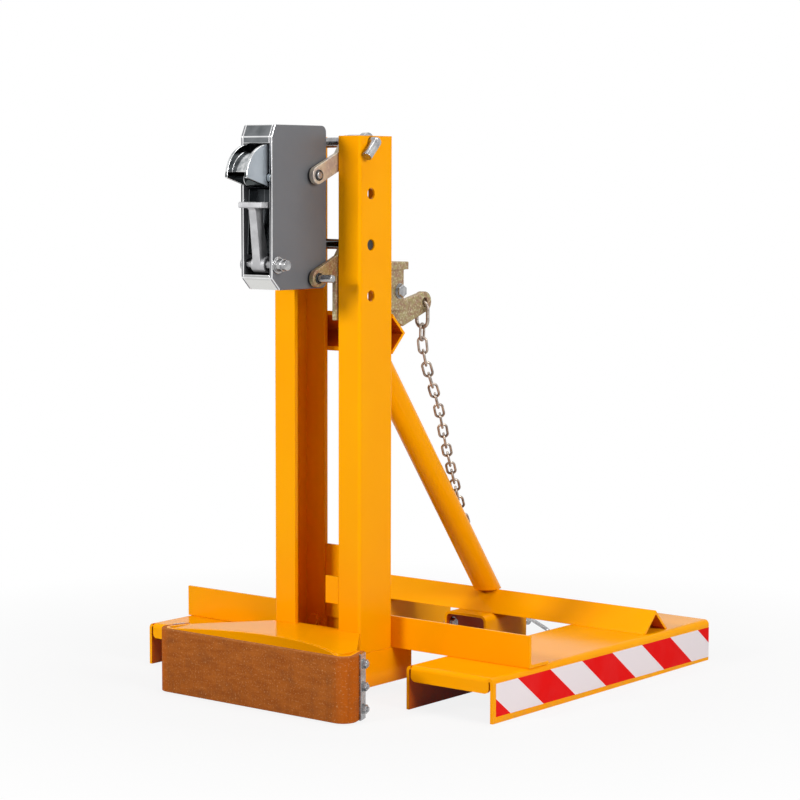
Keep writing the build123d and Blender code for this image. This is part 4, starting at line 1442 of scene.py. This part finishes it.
@dataclass
class Studio:
    """Pale floor, soft lamps, white surround and the camera."""

    eye: tuple[float, float, float] = (2.3957, -3.0148, 0.8059)
    turn: float = math.radians(38.456)
    pitch: float = math.radians(5.374)
    roll: float = math.radians(0.134)
    lens: float = 107.42
    sensor: float = 36.0
    sight: float = 100.0
    floor_half: float = 8.0
    floor_colour: Colour = (0.6, 0.6, 0.6, 1)
    floor_roughness: float = 0.7
    floor_white: float = 0.86
    surround: float = 0.09
    shadow_radius: tuple[float, float] = (0.5, 1.1)

    def build(self) -> None:
        """Set the stage."""
        bpy.context.scene.view_settings.view_transform = "Standard"
        self.world()
        self.floor()
        for lamp in (
            Lamp("front_key", place=(-0.75, -3.0, 1.6), aim=(0, 0, 0.4), size=0.6, watts=65.0),
            Lamp("right_key", place=(3.0, -0.5, 1.7), aim=(0, 0, 0.4), size=1.2, watts=67.0),
            Lamp("top", place=(0.2, 0.3, 3.2), aim=(0, 0, 0.3), size=1.6, watts=35.0),
        ):
            lamp.hang()
        self.camera()

    def unlit(self, graph: Graph) -> Signal:
        """Tell the rays that see plain white: those from the eye, and those mirrored or let through.

        Args:
            graph: The tree that asks.

        Returns:
            One for such a ray, and zero for the rest.
        """
        path = graph.tree.nodes.new("ShaderNodeLightPath")
        seen, mirrored, through = (
            Signal(graph, path.outputs[name])
            for name in ("Is Camera Ray", "Is Glossy Ray", "Is Transmission Ray")
        )
        return (seen + mirrored + through) > 0.5

    def world(self) -> None:
        """White surround to look at, softer as a light."""
        world = bpy.data.worlds.new("surround")
        world.use_nodes = True
        bpy.context.scene.world = world
        graph = Graph(world.node_tree)
        back = next(node for node in graph.tree.nodes if node.type == "BACKGROUND")
        back.inputs["Color"].default_value = (1, 1, 1, 1)
        white = self.unlit(graph)
        graph.feed(back.inputs["Strength"], white * (1 - self.surround) + self.surround)

    def floor(self) -> None:
        """A pale floor that runs to the horizon and keeps a light shadow."""
        shape = bmesh.new()
        half = self.floor_half
        corners = ((-half, -half), (half, -half), (half, half), (-half, half))
        shape.faces.new([shape.verts.new((x, y, 0)) for x, y in corners])
        shader = Shader("pale_floor")
        material = shader.surface({"Base Color": self.floor_colour, "Roughness": self.floor_roughness})
        glow = shader.add("ShaderNodeEmission", sockets={"Color": (1, 1, 1, 1), "Strength": 1.0})
        far = shader.add("ShaderNodeVectorMath", {"operation": "LENGTH"}, {0: shader.place}, "Value")
        share = self.unlit(shader) * shader.spread(far, *self.shadow_radius, self.floor_white, 1.0)
        lit = Signal(shader, shader.skin.outputs[0])
        both = shader.add("ShaderNodeMixShader", sockets={0: share, 1: lit, 2: glow})
        sink = next(node for node in shader.tree.nodes if node.type == "OUTPUT_MATERIAL")
        shader.tree.links.new(both.socket, sink.inputs[0])
        floor = mesh_object("floor", shape, material)
        floor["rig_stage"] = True

    def camera(self) -> None:
        """Stand the camera where the photograph was taken from."""
        data = bpy.data.cameras.new("camera")
        data.lens = self.lens
        data.sensor_width = self.sensor
        data.clip_end = self.sight
        camera = bpy.data.objects.new("camera", data)
        level = math.cos(self.pitch)
        look = Vector((
            -math.sin(self.turn) * level, math.cos(self.turn) * level, -math.sin(self.pitch),
        ))
        camera.location = self.eye
        camera.rotation_mode = "QUATERNION"
        camera.rotation_quaternion = look.to_track_quat("-Z", "Y") @ Quaternion((0, 0, 1), self.roll)
        bpy.context.scene.collection.objects.link(camera)
        bpy.context.scene.camera = camera


def main() -> None:
    """Dress every sub-assembly and set the stage."""
    logging.basicConfig(level=logging.INFO, format="%(name)s: %(message)s")
    shop = Shop()
    for assembly in (ForkBase(shop), Mast(shop), Saddle(shop), GripHead(shop), SafetyChain(shop)):
        assembly.build()
    Studio().build()


if __name__ == "__main__":
    main()
